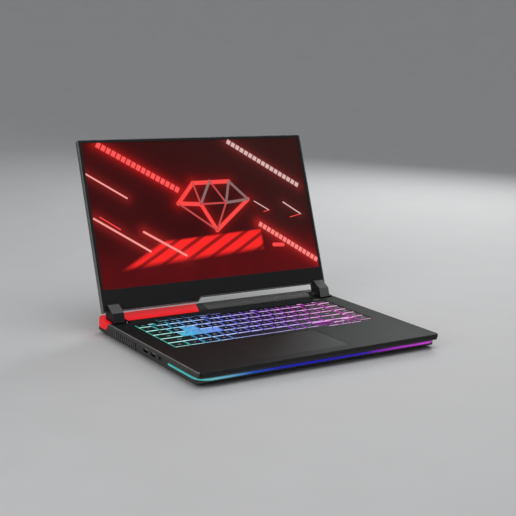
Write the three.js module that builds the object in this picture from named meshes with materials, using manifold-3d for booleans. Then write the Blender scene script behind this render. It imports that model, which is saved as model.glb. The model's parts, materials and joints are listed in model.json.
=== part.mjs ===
// A fifteen-inch gaming laptop computer with its lid open: chassis, sprung keys, clicking touchpad,
// two spinning fans, and a lid that turns on drop hinges inside slots of the chassis.
// Units are millimetres. +X is the user's right, +Y is away from the user, +Z is up.
import * as THREE from "three";
import { mergeGeometries, mergeVertices } from "three/addons/utils/BufferGeometryUtils.js";
import Module from "manifold-3d";

const wasm = await Module();
wasm.setup();

// ---------------------------------------------------------------- driving dimensions
const GAP = 0.3; // clearance round a piece that sits in a cut of its neighbour
const SEAT = 0.1; // clearance under a piece that lies on its neighbour

const CHASSIS = {
  width: 354,
  depth: 259,
  height: 17.5, // from the bottom skin to the deck
  cornerRadius: 5,
  foot: 1.8, // how far the rubber feet hold the bottom skin off the table
};
const DECK = { skin: 1.6, band: 5, bandWall: 2.2 };
const TRAY = {
  inset: 0.6, // how far the tray wall stands inside the deck band
  wall: 3,
  floor: 1.5,
  bevelHeight: 3.2,
  bevel: 3,
  noseHeight: 6, // the front edge is cut away below this height
  noseDepth: 12,
  frontCorner: 18, // plan radius of the front corners from the light bar down
};
const LIGHT_BAR = { thickness: 1.6, height: 3.5, drop: 7.6, rearEnd: -58 };
const LID = {
  length: 227.2, // from its rear edge to its top edge
  thickness: 6.6,
  rim: 1.6,
  skin: 1.4,
  cornerRadius: 3,
  lean: THREE.MathUtils.degToRad(20.9), // how far it leans back from upright
  step: 5.5, // how much shorter it is right of the step
  stepX: -36,
  stepRun: 5,
};
const SCREEN = { width: 344.2, height: 193.6, chin: 29.2, border: 2.7, thickness: 2.8 };
const BEZEL = { thickness: 1.2 };
const PIVOT = { fromRear: 21.6, aboveDeck: 0.5, lidReach: 10.2 };
const ARM = { inner: 155, outer: 171, top: 9.4, depth: 14, fold: 7 };
const SLOT = { inner: 148.5, outer: 172.2, front: 20.5, rear: 11.6 };
const BRACKET = { thickness: 4.2, barrel: 4.2, pin: 2.2, foot: 1.5, reach: 38 };
const REAR_TRIM = { front: 30.9, low: 0.4, high: 2.5, endFront: -43.6, endRear: -30 };
const CAP = { drop: 10, lean: 0.86, level: 3.4, wall: 3, skin: 1.3, chamfer: 6 };
const KEY = { pitchX: 19.05, pitchY: 18.65, gap: 1.95, cap: 1.3, sink: 0.2, bevel: 0.45, relief: 0.8 };
const KEYBOARD = { left: -150.5, front: -29.5, rowUnits: 14.5, border: 1.7 };
const FUNCTION_KEY = { depth: 11.5, width: 15.9, pitch: 17.6 };
const HOTKEY = { width: 15.6, depth: 8.4, pitch: 19.6, left: -115, clear: 3.75 };
const SIDE_COLUMN = { left: 129.5, width: 18 };
const ARROW = { left: 72.5, width: 16.8, pitch: 18.6, depth: 10.9, gap: 2, upDepth: 8.6, clear: 2.95 };
const SPINE = { width: 0.9, bite: 0.2, height: 0.8 };
const PLATE = { thickness: 0.8, drop: 3.6, rim: 1.4 };
const POWER = { x: 140, behind: 8.55, width: 12, depth: 7.6, height: 2.6 };
const TOUCHPAD = { x: -22, clear: 5.7, width: 130, depth: 74, thickness: 2.4, sink: 0.15 };
const BOARD = { drop: 11.3, thickness: 1.2, waist: 62.5, fromRear: 7.5, clear: 1, front: -42 };
const FAN = { x: 104, y: 67, width: 76, depth: 78, drop: 6.2, height: 9.4, radius: 30, skin: 1 };
const FINS = { width: 66, depth: 13.5, height: 6.4, count: 20, thickness: 0.7 };
const PIPE = { width: 8, height: 2.6, drop: 5.7 };
const BATTERY = { width: 296, front: -110, depth: 66, height: 8.6 };
const SPEAKER = { inner: 151, width: 18, front: -106, depth: 54, height: 8 };
const PORT_DROP = 5.4; // from the deck to the top of the sockets along the edges
const INTAKE = { left: 3, width: 29, pitch: 34, count: 4 };
const VENT = {
  sideFront: 20,
  sideRear: 77,
  sideTop: 5.9, // from the deck to the top of the side slots
  sideLow: 13.8,
  sideCount: 10,
  rearInner: 74,
  rearOuter: 138,
  rearCount: 16,
};

// ---------------------------------------------------------------- places worked out from them
const DECK_Z = CHASSIS.foot + CHASSIS.height;
const FLOOR_Z = CHASSIS.foot; // underside of the bottom skin
const HALF_W = CHASSIS.width / 2;
const HALF_D = CHASSIS.depth / 2;
const TRAY_W = HALF_W - TRAY.inset;
const TRAY_D = HALF_D - TRAY.inset;
const PIVOT_Y = HALF_D - PIVOT.fromRear;
const PIVOT_Z = DECK_Z + PIVOT.aboveDeck;
const TRIM_FRONT = HALF_D - REAR_TRIM.front;
const below = (drop) => DECK_Z - drop;

// ---------------------------------------------------------------- finishes
const finish = (color, roughness, metalness = 0) => new THREE.MeshStandardMaterial({ color, roughness, metalness });
const FINISH = {
  deck: finish(0x2b2b2d, 0.5, 0.1),
  tray: finish(0x1c1c1e, 0.65),
  lid: finish(0x303033, 0.4, 0.6),
  bezel: finish(0x1a1a1b, 0.55),
  screen: finish(0x3a0808, 0.25),
  red: finish(0xd8141c, 0.45),
  trim: finish(0x3a3a3a, 0.6),
  hinge: finish(0x4a4a4a, 0.45, 0.4),
  light: finish(0x4060ff, 0.3),
  key: finish(0x0c0c10, 0.6),
  gameKey: finish(0x7fd0ff, 0.35),
  rubber: finish(0x101010, 0.9),
  steel: finish(0x9a9a9e, 0.35, 1),
  copper: finish(0xb06a3c, 0.35, 1),
  board: finish(0x16301f, 0.6),
  black: finish(0x0c0c0c, 0.7),
};

// ---------------------------------------------------------------- solids
/** A closed manifold-3d solid with the shape of a three.js geometry. */
function solid(geometry) {
  const bare = new THREE.BufferGeometry();
  const loose = geometry.index ? geometry.toNonIndexed() : geometry;
  bare.setAttribute("position", loose.getAttribute("position"));
  const merged = mergeVertices(bare, 1e-4);
  const made = new wasm.Manifold(
    new wasm.Mesh({
      numProp: 3,
      vertProperties: new Float32Array(merged.attributes.position.array),
      triVerts: new Uint32Array(merged.index.array),
    }),
  );
  return made;
}

/** A box from its limits along each axis. */
function block([x0, x1], [y0, y1], [z0, z1]) {
  const g = new THREE.BoxGeometry(x1 - x0, y1 - y0, z1 - z0);
  return solid(g.translate((x0 + x1) / 2, (y0 + y1) / 2, (z0 + z1) / 2));
}

/** A plan outline, as points, raised from z0 to z1. */
function slab(points, z0, z1) {
  const shape = new THREE.Shape(points.map(([x, y]) => new THREE.Vector2(x, y)));
  const g = new THREE.ExtrudeGeometry(shape, { depth: z1 - z0, bevelEnabled: false });
  return solid(g.translate(0, 0, z0));
}

/** A (y, z) profile drawn out along X from x0 to x1. */
function sideways(points, x0, x1) {
  const shape = new THREE.Shape(points.map(([y, z]) => new THREE.Vector2(y, z)));
  const g = new THREE.ExtrudeGeometry(shape, { depth: x1 - x0, bevelEnabled: false });
  const toRow = new THREE.Matrix4().makeBasis(
    new THREE.Vector3(0, 1, 0),
    new THREE.Vector3(0, 0, 1),
    new THREE.Vector3(1, 0, 0),
  );
  return solid(g.applyMatrix4(toRow).translate(x0, 0, 0));
}

/** A round bar along an axis ("x", "y" or "z"), centred on a point. */
function rod(axis, radius, length, [x, y, z], sides = 24) {
  const g = new THREE.CylinderGeometry(radius, radius, length, sides);
  if (axis === "x") g.rotateZ(Math.PI / 2);
  if (axis === "z") g.rotateX(Math.PI / 2);
  return solid(g.translate(x, y, z));
}

/** The solid between two outlines of equally many points, at two heights. */
function loft(lower, z0, upper, z1) {
  const n = lower.length;
  const at = (points, z, i) => [points[i % n][0], points[i % n][1], z];
  const middle = (points, z) => [
    points.reduce((sum, p) => sum + p[0], 0) / n,
    points.reduce((sum, p) => sum + p[1], 0) / n,
    z,
  ];
  const corners = [];
  for (let i = 0; i < n; i += 1) {
    const [a, b] = [at(lower, z0, i), at(lower, z0, i + 1)];
    const [c, d] = [at(upper, z1, i), at(upper, z1, i + 1)];
    corners.push(a, b, d, a, d, c, b, a, middle(lower, z0), c, d, middle(upper, z1));
  }
  const g = new THREE.BufferGeometry();
  return solid(g.setAttribute("position", new THREE.Float32BufferAttribute(corners.flat(), 3)));
}

/** A rectangle with rounded corners, anticlockwise, as points. */
function roundedOutline([x0, x1], [y0, y1], radius, steps = 4) {
  const corner = (cx, cy, start) =>
    Array.from({ length: steps + 1 }, (_, i) => {
      const turn = start + ((Math.PI / 2) * i) / steps;
      return [cx + radius * Math.cos(turn), cy + radius * Math.sin(turn)];
    });
  return [
    ...corner(x1 - radius, y1 - radius, 0),
    ...corner(x0 + radius, y1 - radius, Math.PI / 2),
    ...corner(x0 + radius, y0 + radius, Math.PI),
    ...corner(x1 - radius, y0 + radius, (3 * Math.PI) / 2),
  ];
}

/** The chassis plan, drawn in by these amounts at the sides, front and rear. */
function chassisPlan(side, front = side, rear = side) {
  const radius = Math.max(CHASSIS.cornerRadius - side / 2, 1);
  return roundedOutline([-HALF_W + side, HALF_W - side], [-HALF_D + front, HALF_D - rear], radius);
}

/** The same plan with its front corners rounded off further, as it is from the light bar down. */
function lowerPlan(side) {
  const [x, y] = [HALF_W - side, HALF_D - side];
  const rear = roundedOutline([-x, x], [-y, y], Math.max(CHASSIS.cornerRadius - side / 2, 1), 8);
  const front = roundedOutline([-x, x], [-y, y], Math.max(TRAY.frontCorner - side, 1), 8);
  return [...rear.slice(0, 18), ...front.slice(18)];
}

const joined = (pieces) => pieces.reduce((sum, piece) => sum.add(piece));
const cutBy = (piece, cutters) => (cutters.length ? piece.subtract(joined(cutters)) : piece);
const bothSides = (make) => [make(-1), make(1)];
const span = (side, inner, outer) => (side < 0 ? [-outer, -inner] : [inner, outer]);

/** A named mesh made of a solid. */
function node(name, shape, material) {
  const { vertProperties, triVerts } = shape.getMesh();
  const g = new THREE.BufferGeometry();
  g.setAttribute("position", new THREE.BufferAttribute(new Float32Array(vertProperties), 3));
  g.setIndex(new THREE.BufferAttribute(new Uint32Array(triVerts), 1));
  const mesh = new THREE.Mesh(g, material);
  mesh.name = name;
  return mesh;
}

// ---------------------------------------------------------------- keyboard plan
const keyDepth = KEY.pitchY - KEY.gap;
const rowFront = (row) => KEYBOARD.front + row * KEY.pitchY;
const KEYS_REAR = rowFront(5) + FUNCTION_KEY.depth;
const HOTKEY_FRONT = KEYS_REAR + HOTKEY.clear;
const POWER_Y = KEYS_REAR + POWER.behind;
const UP_ARROW_FRONT = rowFront(1) - ARROW.clear - ARROW.upDepth;
const ARROW_FRONT = UP_ARROW_FRONT - ARROW.gap - ARROW.depth;
const TOUCHPAD_REAR = ARROW_FRONT - TOUCHPAD.clear;

/** Key rectangles of one row, from the widths of its keys in units. */
function keysInRow(row, widths, left = KEYBOARD.left) {
  let x = left;
  return widths.map((units) => {
    const key = { x: [x, x + units * KEY.pitchX - KEY.gap], y: [rowFront(row), rowFront(row) + keyDepth] };
    x += units * KEY.pitchX;
    return key;
  });
}

/** The key of the separate right-hand column that stands in one row. */
function sideColumnKey(row, depth = keyDepth) {
  const { left, width } = SIDE_COLUMN;
  return { x: [left, left + width], y: [rowFront(row), rowFront(row) + depth] };
}

/** Escape, three groups of four function keys, and delete. */
function functionKeys() {
  const y = [rowFront(5), rowFront(5) + FUNCTION_KEY.depth];
  const right = KEYBOARD.left + KEYBOARD.rowUnits * KEY.pitchX - KEY.gap;
  const groupWidth = 3 * FUNCTION_KEY.pitch + FUNCTION_KEY.width;
  const endWidth = KEY.pitchX - KEY.gap;
  const slack = right - KEYBOARD.left - 2 * endWidth - 3 * groupWidth;
  const keys = [{ x: [KEYBOARD.left, KEYBOARD.left + endWidth], y }];
  for (let i = 0; i < 12; i += 1) {
    const group = Math.floor(i / 4);
    const start = KEYBOARD.left + endWidth + (slack * (group + 1)) / 4 + group * groupWidth;
    const x = start + (i % 4) * FUNCTION_KEY.pitch;
    keys.push({ x: [x, x + FUNCTION_KEY.width], y });
  }
  keys.push({ x: [right - endWidth, right], y });
  keys.push(sideColumnKey(5, FUNCTION_KEY.depth));
  return keys;
}

const repeated = (count, value = 1) => Array(count).fill(value);
const ROWS = {
  modifiers: keysInRow(0, [1.12, 1.12, 1.12, 0.98, 4.79, 1.01, 1.01]),
  lower: keysInRow(1, [2.25, ...repeated(10), 2.25]),
  home: keysInRow(2, [1.75, ...repeated(11), 1.75]),
  upper: keysInRow(3, [1.5, ...repeated(13)]),
  number: keysInRow(4, [...repeated(13), 1.5]),
};
const SPACE_INDEX = 4;
const W_INDEX = 2;
const A_INDEX = 1;

// ---------------------------------------------------------------- chassis shells
const hingeSlot = (side, z0, z1) =>
  block(span(side, SLOT.inner, SLOT.outer), [PIVOT_Y - SLOT.front, PIVOT_Y + SLOT.rear], [z0, z1]);

/** The slanting front line of a rear corner cap, as y at one height. */
const capFront = (z) => TRIM_FRONT + CAP.lean * (below(CAP.level) - z);

/** The space cut out of a neighbour for a rear corner cap, with clearance all round. */
function capSpace(side, z0) {
  const z1 = DECK_Z + REAR_TRIM.high + 1;
  const profile = [
    [capFront(z0) - GAP, z0],
    [HALF_D + 1, z0],
    [HALF_D + 1, z1],
    [capFront(z1) - GAP, z1],
  ];
  return sideways(profile, ...span(side, SLOT.inner, HALF_W + 1));
}

/** The opening of the deck round the keys and the arrow cluster. */
function keyboardOpening() {
  const { border } = KEYBOARD;
  const right = SIDE_COLUMN.left + SIDE_COLUMN.width + border;
  const rear = KEYS_REAR + border;
  const front = KEYBOARD.front - border;
  const main = block([KEYBOARD.left - border, right], [front, rear], [below(DECK.skin) - 1, DECK_Z + 1]);
  const arrows = block(
    [ARROW.left - border, ARROW.left + 2 * ARROW.pitch + ARROW.width + border],
    [ARROW_FRONT - border, front + 1],
    [below(DECK.skin) - 1, DECK_Z + 1],
  );
  return main.add(arrows);
}

const hotkeyX = (i) => HOTKEY.left + i * HOTKEY.pitch;

/** The top case: palm rest and deck in one, with a band that turns down at its edge. */
function keyboardDeck() {
  const through = [below(DECK.band) - 1, DECK_Z + 1];
  const shell = slab(chassisPlan(0), below(DECK.band), DECK_Z);
  const inside = slab(chassisPlan(DECK.bandWall), below(DECK.band) - 1, below(DECK.skin));
  const pad = block(
    [TOUCHPAD.x - TOUCHPAD.width / 2 - GAP, TOUCHPAD.x + TOUCHPAD.width / 2 + GAP],
    [TOUCHPAD_REAR - TOUCHPAD.depth - GAP, TOUCHPAD_REAR + GAP],
    through,
  );
  const power = block(
    [POWER.x - POWER.width / 2 - GAP, POWER.x + POWER.width / 2 + GAP],
    [POWER_Y - POWER.depth / 2 - GAP, POWER_Y + POWER.depth / 2 + GAP],
    through,
  );
  const hotkeys = Array.from({ length: 5 }, (_, i) =>
    block(
      [hotkeyX(i) - GAP, hotkeyX(i) + HOTKEY.width + GAP],
      [HOTKEY_FRONT - GAP, HOTKEY_FRONT + HOTKEY.depth + GAP],
      through,
    ),
  );
  const intake = Array.from({ length: INTAKE.count }, (_, i) => {
    const x = INTAKE.left + i * INTAKE.pitch;
    return block([x, x + INTAKE.width], [TRIM_FRONT + 5, HALF_D - 8], through);
  });
  return cutBy(shell, [
    inside,
    keyboardOpening(),
    pad,
    power,
    ...intake,
    ...hotkeys,
    ...bothSides((side) => hingeSlot(side, ...through)),
    ...bothSides((side) => capSpace(side, below(DECK.band) - 1)),
  ]);
}

/** Slots through the rear wall in front of each fin stack. */
function rearVents() {
  const pitch = (VENT.rearOuter - VENT.rearInner) / VENT.rearCount;
  return bothSides((side) =>
    Array.from({ length: VENT.rearCount }, (_, i) => {
      const x = VENT.rearInner + i * pitch;
      return block(span(side, x, x + pitch * 0.58), [TRAY_D - TRAY.wall - 1, HALF_D], [below(14), below(6.6)]);
    }),
  ).flat();
}

/** Leaning slots through the side walls beside each fan. */
function sideVents() {
  const pitch = (VENT.sideRear - VENT.sideFront) / VENT.sideCount;
  const lean = 2.4;
  return bothSides((side) =>
    Array.from({ length: VENT.sideCount }, (_, i) => {
      const y = VENT.sideFront + i * pitch;
      const profile = [
        [y, below(VENT.sideLow)],
        [y + pitch * 0.5, below(VENT.sideLow)],
        [y + pitch * 0.5 + lean, below(VENT.sideTop)],
        [y + lean, below(VENT.sideTop)],
      ];
      return sideways(profile, ...span(side, TRAY_W - TRAY.wall - 1, HALF_W + 1));
    }),
  ).flat();
}

/** Long slots through the floor under each fan. */
function floorVents() {
  const count = 9;
  const pitch = 5.6;
  return bothSides((side) =>
    Array.from({ length: count }, (_, i) => {
      const y = FAN.y + (i - (count - 1) / 2) * pitch;
      const reach = Math.sqrt(Math.max(27 ** 2 - (y - FAN.y) ** 2, 64));
      return block(span(side, FAN.x - reach, FAN.x + reach), [y - 1.1, y + 1.1], [FLOOR_Z - 1, FLOOR_Z + 3]);
    }),
  ).flat();
}

const FEET = [
  { name: "rear_foot", x: [-118, 118], y: [97, 106] },
  { name: "front_foot_left", x: [-150, -96], y: [-106, -98] },
  { name: "front_foot_right", x: [96, 150], y: [-106, -98] },
];
const FOOT_POCKET = 0.6;
const SCREWS = [-160, -80, 80, 160]
  .flatMap((x) => [-90, 10].map((y) => [x, y]))
  .concat([-135, 0, 135].map((x) => [x, 112]));
const SCREW_HEAD = 2.6;

/** The U of the light bar or of its channel, between two insets of the tray wall. */
function barRing(outer, inner, z0, z1, rear) {
  const ring = slab(lowerPlan(TRAY.inset + outer), z0, z1).subtract(
    slab(lowerPlan(TRAY.inset + inner), z0 - 1, z1 + 1),
  );
  return ring.subtract(block([-HALF_W - 1, HALF_W + 1], [rear, HALF_D + 1], [z0 - 1, z1 + 1]));
}

/** The sloping cut under the front edge, moved in by an amount. */
function nose(inward) {
  const [y, z] = [-HALF_D + inward, FLOOR_Z + inward];
  return sideways(
    [
      [-HALF_D - 1, FLOOR_Z - 1],
      [y + TRAY.noseDepth, FLOOR_Z - 1],
      [y + TRAY.noseDepth, FLOOR_Z],
      [y, z + TRAY.noseHeight],
      [-HALF_D - 1, z + TRAY.noseHeight],
    ],
    -HALF_W - 1,
    HALF_W + 1,
  );
}

/** What the rounded lower front corners leave out, up to a height, drawn in by an amount. */
function frontCorners(inward, top) {
  const band = [-HALF_D - 1, -HALF_D + TRAY.frontCorner];
  const around = block([-HALF_W - 1, HALF_W + 1], band, [FLOOR_Z - 1, top]);
  return around.subtract(slab(lowerPlan(TRAY.inset + inward), FLOOR_Z - 2, top + 1));
}

/** The inside of the tray, which keeps the walls and the floor at their thickness. */
function trayHollow(top) {
  const { inset, wall, floor, bevel, bevelHeight } = TRAY;
  const bevelZ = FLOOR_Z + bevelHeight;
  const upper = slab(chassisPlan(inset + wall), bevelZ, top + 1);
  const lower = loft(chassisPlan(inset + bevel + 1.2), FLOOR_Z + floor, chassisPlan(inset + wall), bevelZ);
  return cutBy(upper.add(lower), [nose(wall - 1), frontCorners(wall, below(LIGHT_BAR.drop - floor))]);
}

/** The bottom cover: a tray whose lower edge slopes in, with vents, port cut-outs and screw holes. */
function bottomCover(portCuts) {
  const bevelZ = FLOOR_Z + TRAY.bevelHeight;
  const top = below(DECK.band) - GAP;
  const { inset, bevel } = TRAY;
  const upper = slab(chassisPlan(inset), bevelZ, top);
  const lower = loft(chassisPlan(inset + bevel), FLOOR_Z, chassisPlan(inset), bevelZ);
  const channel = barRing(
    -1,
    LIGHT_BAR.thickness + GAP,
    below(LIGHT_BAR.drop + LIGHT_BAR.height + GAP),
    below(LIGHT_BAR.drop - GAP),
    LIGHT_BAR.rearEnd + GAP,
  );
  const pockets = FEET.map(({ x, y }) =>
    block([x[0] - GAP, x[1] + GAP], [y[0] - GAP, y[1] + GAP], [FLOOR_Z - 1, FLOOR_Z + FOOT_POCKET]),
  );
  const screwHoles = SCREWS.map(([x, y]) => rod("z", SCREW_HEAD + GAP, 2, [x, y, FLOOR_Z], 12));
  return cutBy(upper.add(lower), [
    nose(0),
    frontCorners(0, below(LIGHT_BAR.drop - GAP)),
    trayHollow(top),
    channel,
    ...pockets,
    ...screwHoles,
    ...rearVents(),
    ...sideVents(),
    ...floorVents(),
    ...portCuts,
    ...bothSides((side) => capSpace(side, below(CAP.drop) - GAP)),
  ]);
}

// ---------------------------------------------------------------- trim on the chassis
/** A wedge over part of the rear of the deck, which rises towards the rear. */
function rearWedge(x0, x1, z0) {
  const rise = [
    [TRIM_FRONT, z0],
    [HALF_D, z0],
    [HALF_D, DECK_Z + REAR_TRIM.high],
    [TRIM_FRONT, DECK_Z + REAR_TRIM.low],
  ];
  return sideways(rise, x0, x1);
}

/** The red strip, from the left slot to its slanting end. */
function accentStrip() {
  const end = [
    [REAR_TRIM.endFront, TRIM_FRONT - 1],
    [HALF_W, TRIM_FRONT - 1],
    [HALF_W, HALF_D + 1],
    [REAR_TRIM.endRear, HALF_D + 1],
  ];
  const strip = rearWedge(-SLOT.inner + GAP, 0, DECK_Z + SEAT);
  return strip.subtract(slab(end, DECK_Z - 1, DECK_Z + REAR_TRIM.high + 1));
}

/** The grey strip, from that slanting end to the right slot, with slanting air slots. */
function ventStrip() {
  const start = [
    [-HALF_W, TRIM_FRONT - 1],
    [REAR_TRIM.endFront + GAP, TRIM_FRONT - 1],
    [REAR_TRIM.endRear + GAP, HALF_D + 1],
    [-HALF_W, HALF_D + 1],
  ];
  const strip = rearWedge(REAR_TRIM.endFront - 1, SLOT.inner - GAP, DECK_Z + SEAT);
  const through = [DECK_Z - 1, DECK_Z + REAR_TRIM.high + 1];
  const slots = [];
  for (let x = 6; x < VENT.rearOuter - 10; x += 8) {
    for (const y of [TRIM_FRONT + 6.5, TRIM_FRONT + 15]) {
      const slot = [
        [x, y],
        [x + 1.8, y],
        [x + 5.8, y + 6],
        [x + 4, y + 6],
      ];
      slots.push(slab(slot, ...through));
    }
  }
  return cutBy(strip, [slab(start, ...through), ...slots]);
}

/** A rear corner cap: it wraps the corner and leaves the hinge slot open. */
function cornerCap(side) {
  const [x0, x1] = span(side, SLOT.inner + GAP, HALF_W);
  const [bottom, over] = [below(CAP.drop), DECK_Z + REAR_TRIM.high + 1];
  const low = DECK_Z + REAR_TRIM.low;
  const profile = [
    [capFront(bottom), bottom],
    [HALF_D, bottom],
    [HALF_D, DECK_Z + REAR_TRIM.high],
    [TRIM_FRONT, low],
    [capFront(low), low],
  ];
  const cut = HALF_D - CAP.chamfer;
  const corner = [
    [side * (HALF_W + 1), cut - 1],
    [side * (HALF_W + 1), HALF_D + 1],
    [side * (HALF_W - CAP.chamfer - 1), HALF_D + 1],
  ];
  return cutBy(sideways(profile, x0, x1), [
    block(span(side, SLOT.inner - 1, SLOT.outer + GAP), [0, HALF_D - CAP.wall], [bottom - 1, below(CAP.skin)]),
    hingeSlot(side, bottom - 1, over),
    slab(side < 0 ? corner.reverse() : corner, bottom - 1, over),
  ]);
}

const lightBar = () =>
  barRing(0, LIGHT_BAR.thickness, below(LIGHT_BAR.drop + LIGHT_BAR.height), below(LIGHT_BAR.drop), LIGHT_BAR.rearEnd);

// ---------------------------------------------------------------- keys
/** One keycap: a low block whose top edges are drawn in. */
function keycap({ x, y }, topZ = below(KEY.sink), height = KEY.cap) {
  const base = [
    [x[0], y[0]],
    [x[1], y[0]],
    [x[1], y[1]],
    [x[0], y[1]],
  ];
  const b = KEY.bevel;
  const top = [
    [x[0] + b, y[0] + b],
    [x[1] - b, y[0] + b],
    [x[1] - b, y[1] - b],
    [x[0] + b, y[1] - b],
  ];
  const body = slab(base, topZ - height, topZ - b);
  return body.add(loft(base, topZ - b, top, topZ));
}

/** Keys of one row on the thin spine that runs behind them. */
function keyBank(keys, drop = KEY.sink, rest = KEY.cap) {
  const left = Math.min(...keys.map((key) => key.x[0]));
  const right = Math.max(...keys.map((key) => key.x[1]));
  const back = keys[0].y[1];
  const bottom = below(drop) - rest;
  const spine = block([left, right], [back - SPINE.bite, back + SPINE.width], [bottom, bottom + SPINE.height]);
  return joined([spine, ...keys.map((key) => keycap(key, below(drop), rest))]);
}

/** A key that moves alone: its rear edge stays clear of the spine behind it. */
const loneKey = ({ x, y }) => keycap({ x, y: [y[0], y[1] - KEY.relief] });
const without = (keys, ...indices) => keys.filter((_, i) => !indices.includes(i));

/** The shortcut keys, which stand in holes of their own with a spine under the deck. */
function hotkeyBank() {
  const height = 2.9;
  const keys = Array.from({ length: 5 }, (_, i) => ({
    x: [hotkeyX(i), hotkeyX(i) + HOTKEY.width],
    y: [HOTKEY_FRONT, HOTKEY_FRONT + HOTKEY.depth],
  }));
  const bottom = DECK_Z - height;
  const spine = block(
    [hotkeyX(0), hotkeyX(4) + HOTKEY.width],
    [HOTKEY_FRONT + 2, HOTKEY_FRONT + HOTKEY.depth - 2],
    [bottom, bottom + SPINE.height],
  );
  return joined([spine, ...keys.map((key) => keycap(key, DECK_Z, height))]);
}

const arrowKey = (column) => {
  const x = ARROW.left + column * ARROW.pitch;
  return keycap({ x: [x, x + ARROW.width], y: [ARROW_FRONT, ARROW_FRONT + ARROW.depth] });
};

/** The upward arrow key, above the downward one. */
function upKey() {
  const x = ARROW.left + ARROW.pitch;
  const front = UP_ARROW_FRONT;
  return keycap({ x: [x, x + ARROW.width], y: [front, front + ARROW.upDepth] });
}

/** A hexagonal button in its hole beside the right hinge. */
function powerButton() {
  const [w, d] = [POWER.width / 2, POWER.depth / 2];
  const outline = [
    [-w, 0],
    [-w + 3, -d],
    [w - 3, -d],
    [w, 0],
    [w - 3, d],
    [-w + 3, d],
  ].map(([x, y]) => [POWER.x + x, POWER_Y + y]);
  return slab(outline, DECK_Z - POWER.height, DECK_Z + SEAT);
}

/** The tray under the keys: a steel plate with a turned-up rim below the deck. */
function keyboardPlate() {
  const { border } = KEYBOARD;
  const grow = border + PLATE.rim;
  const x = [KEYBOARD.left - grow, SIDE_COLUMN.left + SIDE_COLUMN.width + grow];
  const y = [ARROW_FRONT - grow, KEYS_REAR + grow];
  const inner = (range) => [range[0] + PLATE.rim, range[1] - PLATE.rim];
  const tray = block(x, y, [below(PLATE.drop + PLATE.thickness), below(DECK.skin + SEAT)]);
  return tray.subtract(block(inner(x), inner(y), [below(PLATE.drop), DECK_Z]));
}

/** The touch surface with its stiffening plate. */
function touchpad() {
  const x = [TOUCHPAD.x - TOUCHPAD.width / 2, TOUCHPAD.x + TOUCHPAD.width / 2];
  const y = [TOUCHPAD_REAR - TOUCHPAD.depth, TOUCHPAD_REAR];
  return slab(roundedOutline(x, y, 2, 3), below(TOUCHPAD.sink + TOUCHPAD.thickness), below(TOUCHPAD.sink));
}

// ---------------------------------------------------------------- sockets
/** A socket shell along the left (-X) or rear (+Y) edge: an open box with a closed back and a tongue. */
function socket({ wall, at, width, height, depth, tongue, tongueZ, shell = 0.45 }) {
  const top = below(PORT_DROP);
  const z = [top - height, top];
  const across = [at - width / 2, at + width / 2];
  const alongOut = wall === "left" ? -TRAY_W : TRAY_D;
  const inward = wall === "left" ? 1 : -1;
  const reach = (from, to) => [alongOut + inward * from, alongOut + inward * to].sort((a, b) => a - b);
  const place = (run, wide, high) => (wall === "left" ? block(run, wide, high) : block(wide, run, high));
  const inner = [across[0] + shell, across[1] - shell];
  const pieces = place(reach(0, depth), across, z).subtract(
    place(reach(-1, depth - 1), inner, [z[0] + shell, z[1] - shell]),
  );
  if (!tongue) return pieces;
  const middle = z[0] + tongueZ * height;
  const blade = place(
    reach(1.2, depth - 0.5),
    [at - tongue[0] / 2, at + tongue[0] / 2],
    [middle - tongue[1] / 2, middle + tongue[1] / 2],
  );
  return pieces.add(blade);
}

/** The hole in the tray wall round a socket. */
function socketCut({ wall, at, width, height }) {
  const z = [below(PORT_DROP) - height - GAP, below(PORT_DROP) + GAP];
  const wide = [at - width / 2 - GAP, at + width / 2 + GAP];
  return wall === "left"
    ? block([-HALF_W - 1, -TRAY_W + TRAY.wall + 1], wide, z)
    : block(wide, [TRAY_D - TRAY.wall - 1, HALF_D + 1], z);
}

const USB_A = { width: 13.1, height: 5.7, depth: 14, tongue: [10.9, 1.8], tongueZ: 0.66 };
const SOCKETS = [
  { name: "usb_port_left_rear", wall: "left", at: -3, ...USB_A },
  { name: "usb_port_left_front", wall: "left", at: -22, ...USB_A },
  { name: "usb_port_rear", wall: "rear", at: -34, ...USB_A },
  { name: "usb_c_port", wall: "rear", at: -14, width: 9.4, height: 3.7, depth: 8, tongue: [6.7, 0.7], tongueZ: 0.5 },
  { name: "hdmi_port", wall: "rear", at: 7, width: 15.2, height: 5.7, depth: 11, tongue: [11, 1], tongueZ: 0.6 },
  { name: "lan_port", wall: "rear", at: 30, width: 14.6, height: 5.7, depth: 16, shell: 0.7 },
];
const AUDIO = { at: -39, width: 6.2, height: 5.2, depth: 12, bore: 1.8 };
const POWER_INLET = { at: 50, width: 9, height: 5.7, depth: 11, bore: 2.5, pin: 0.9 };

/** The headphone socket: a square body bored for a 3.5 mm plug. */
function audioJack() {
  const top = below(PORT_DROP);
  const centre = top - AUDIO.height / 2;
  const x = [-TRAY_W, -TRAY_W + AUDIO.depth];
  const body = block(x, [AUDIO.at - AUDIO.width / 2, AUDIO.at + AUDIO.width / 2], [top - AUDIO.height, top]);
  return body.subtract(rod("x", AUDIO.bore, AUDIO.depth, [-TRAY_W + AUDIO.depth / 2 - 1, AUDIO.at, centre], 16));
}

/** The mains adaptor inlet: a body with a round bore and a centre pin. */
function powerInlet() {
  const top = below(PORT_DROP);
  const centre = top - POWER_INLET.height / 2;
  const y = [TRAY_D - POWER_INLET.depth, TRAY_D];
  const half = POWER_INLET.width / 2;
  const body = block([POWER_INLET.at - half, POWER_INLET.at + half], y, [top - POWER_INLET.height, top]);
  const bore = rod("y", POWER_INLET.bore, POWER_INLET.depth, [POWER_INLET.at, TRAY_D - 5 + 3, centre], 16);
  const pin = rod("y", POWER_INLET.pin, 8, [POWER_INLET.at, TRAY_D - 5.5, centre], 12);
  return body.subtract(bore).add(pin);
}

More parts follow.
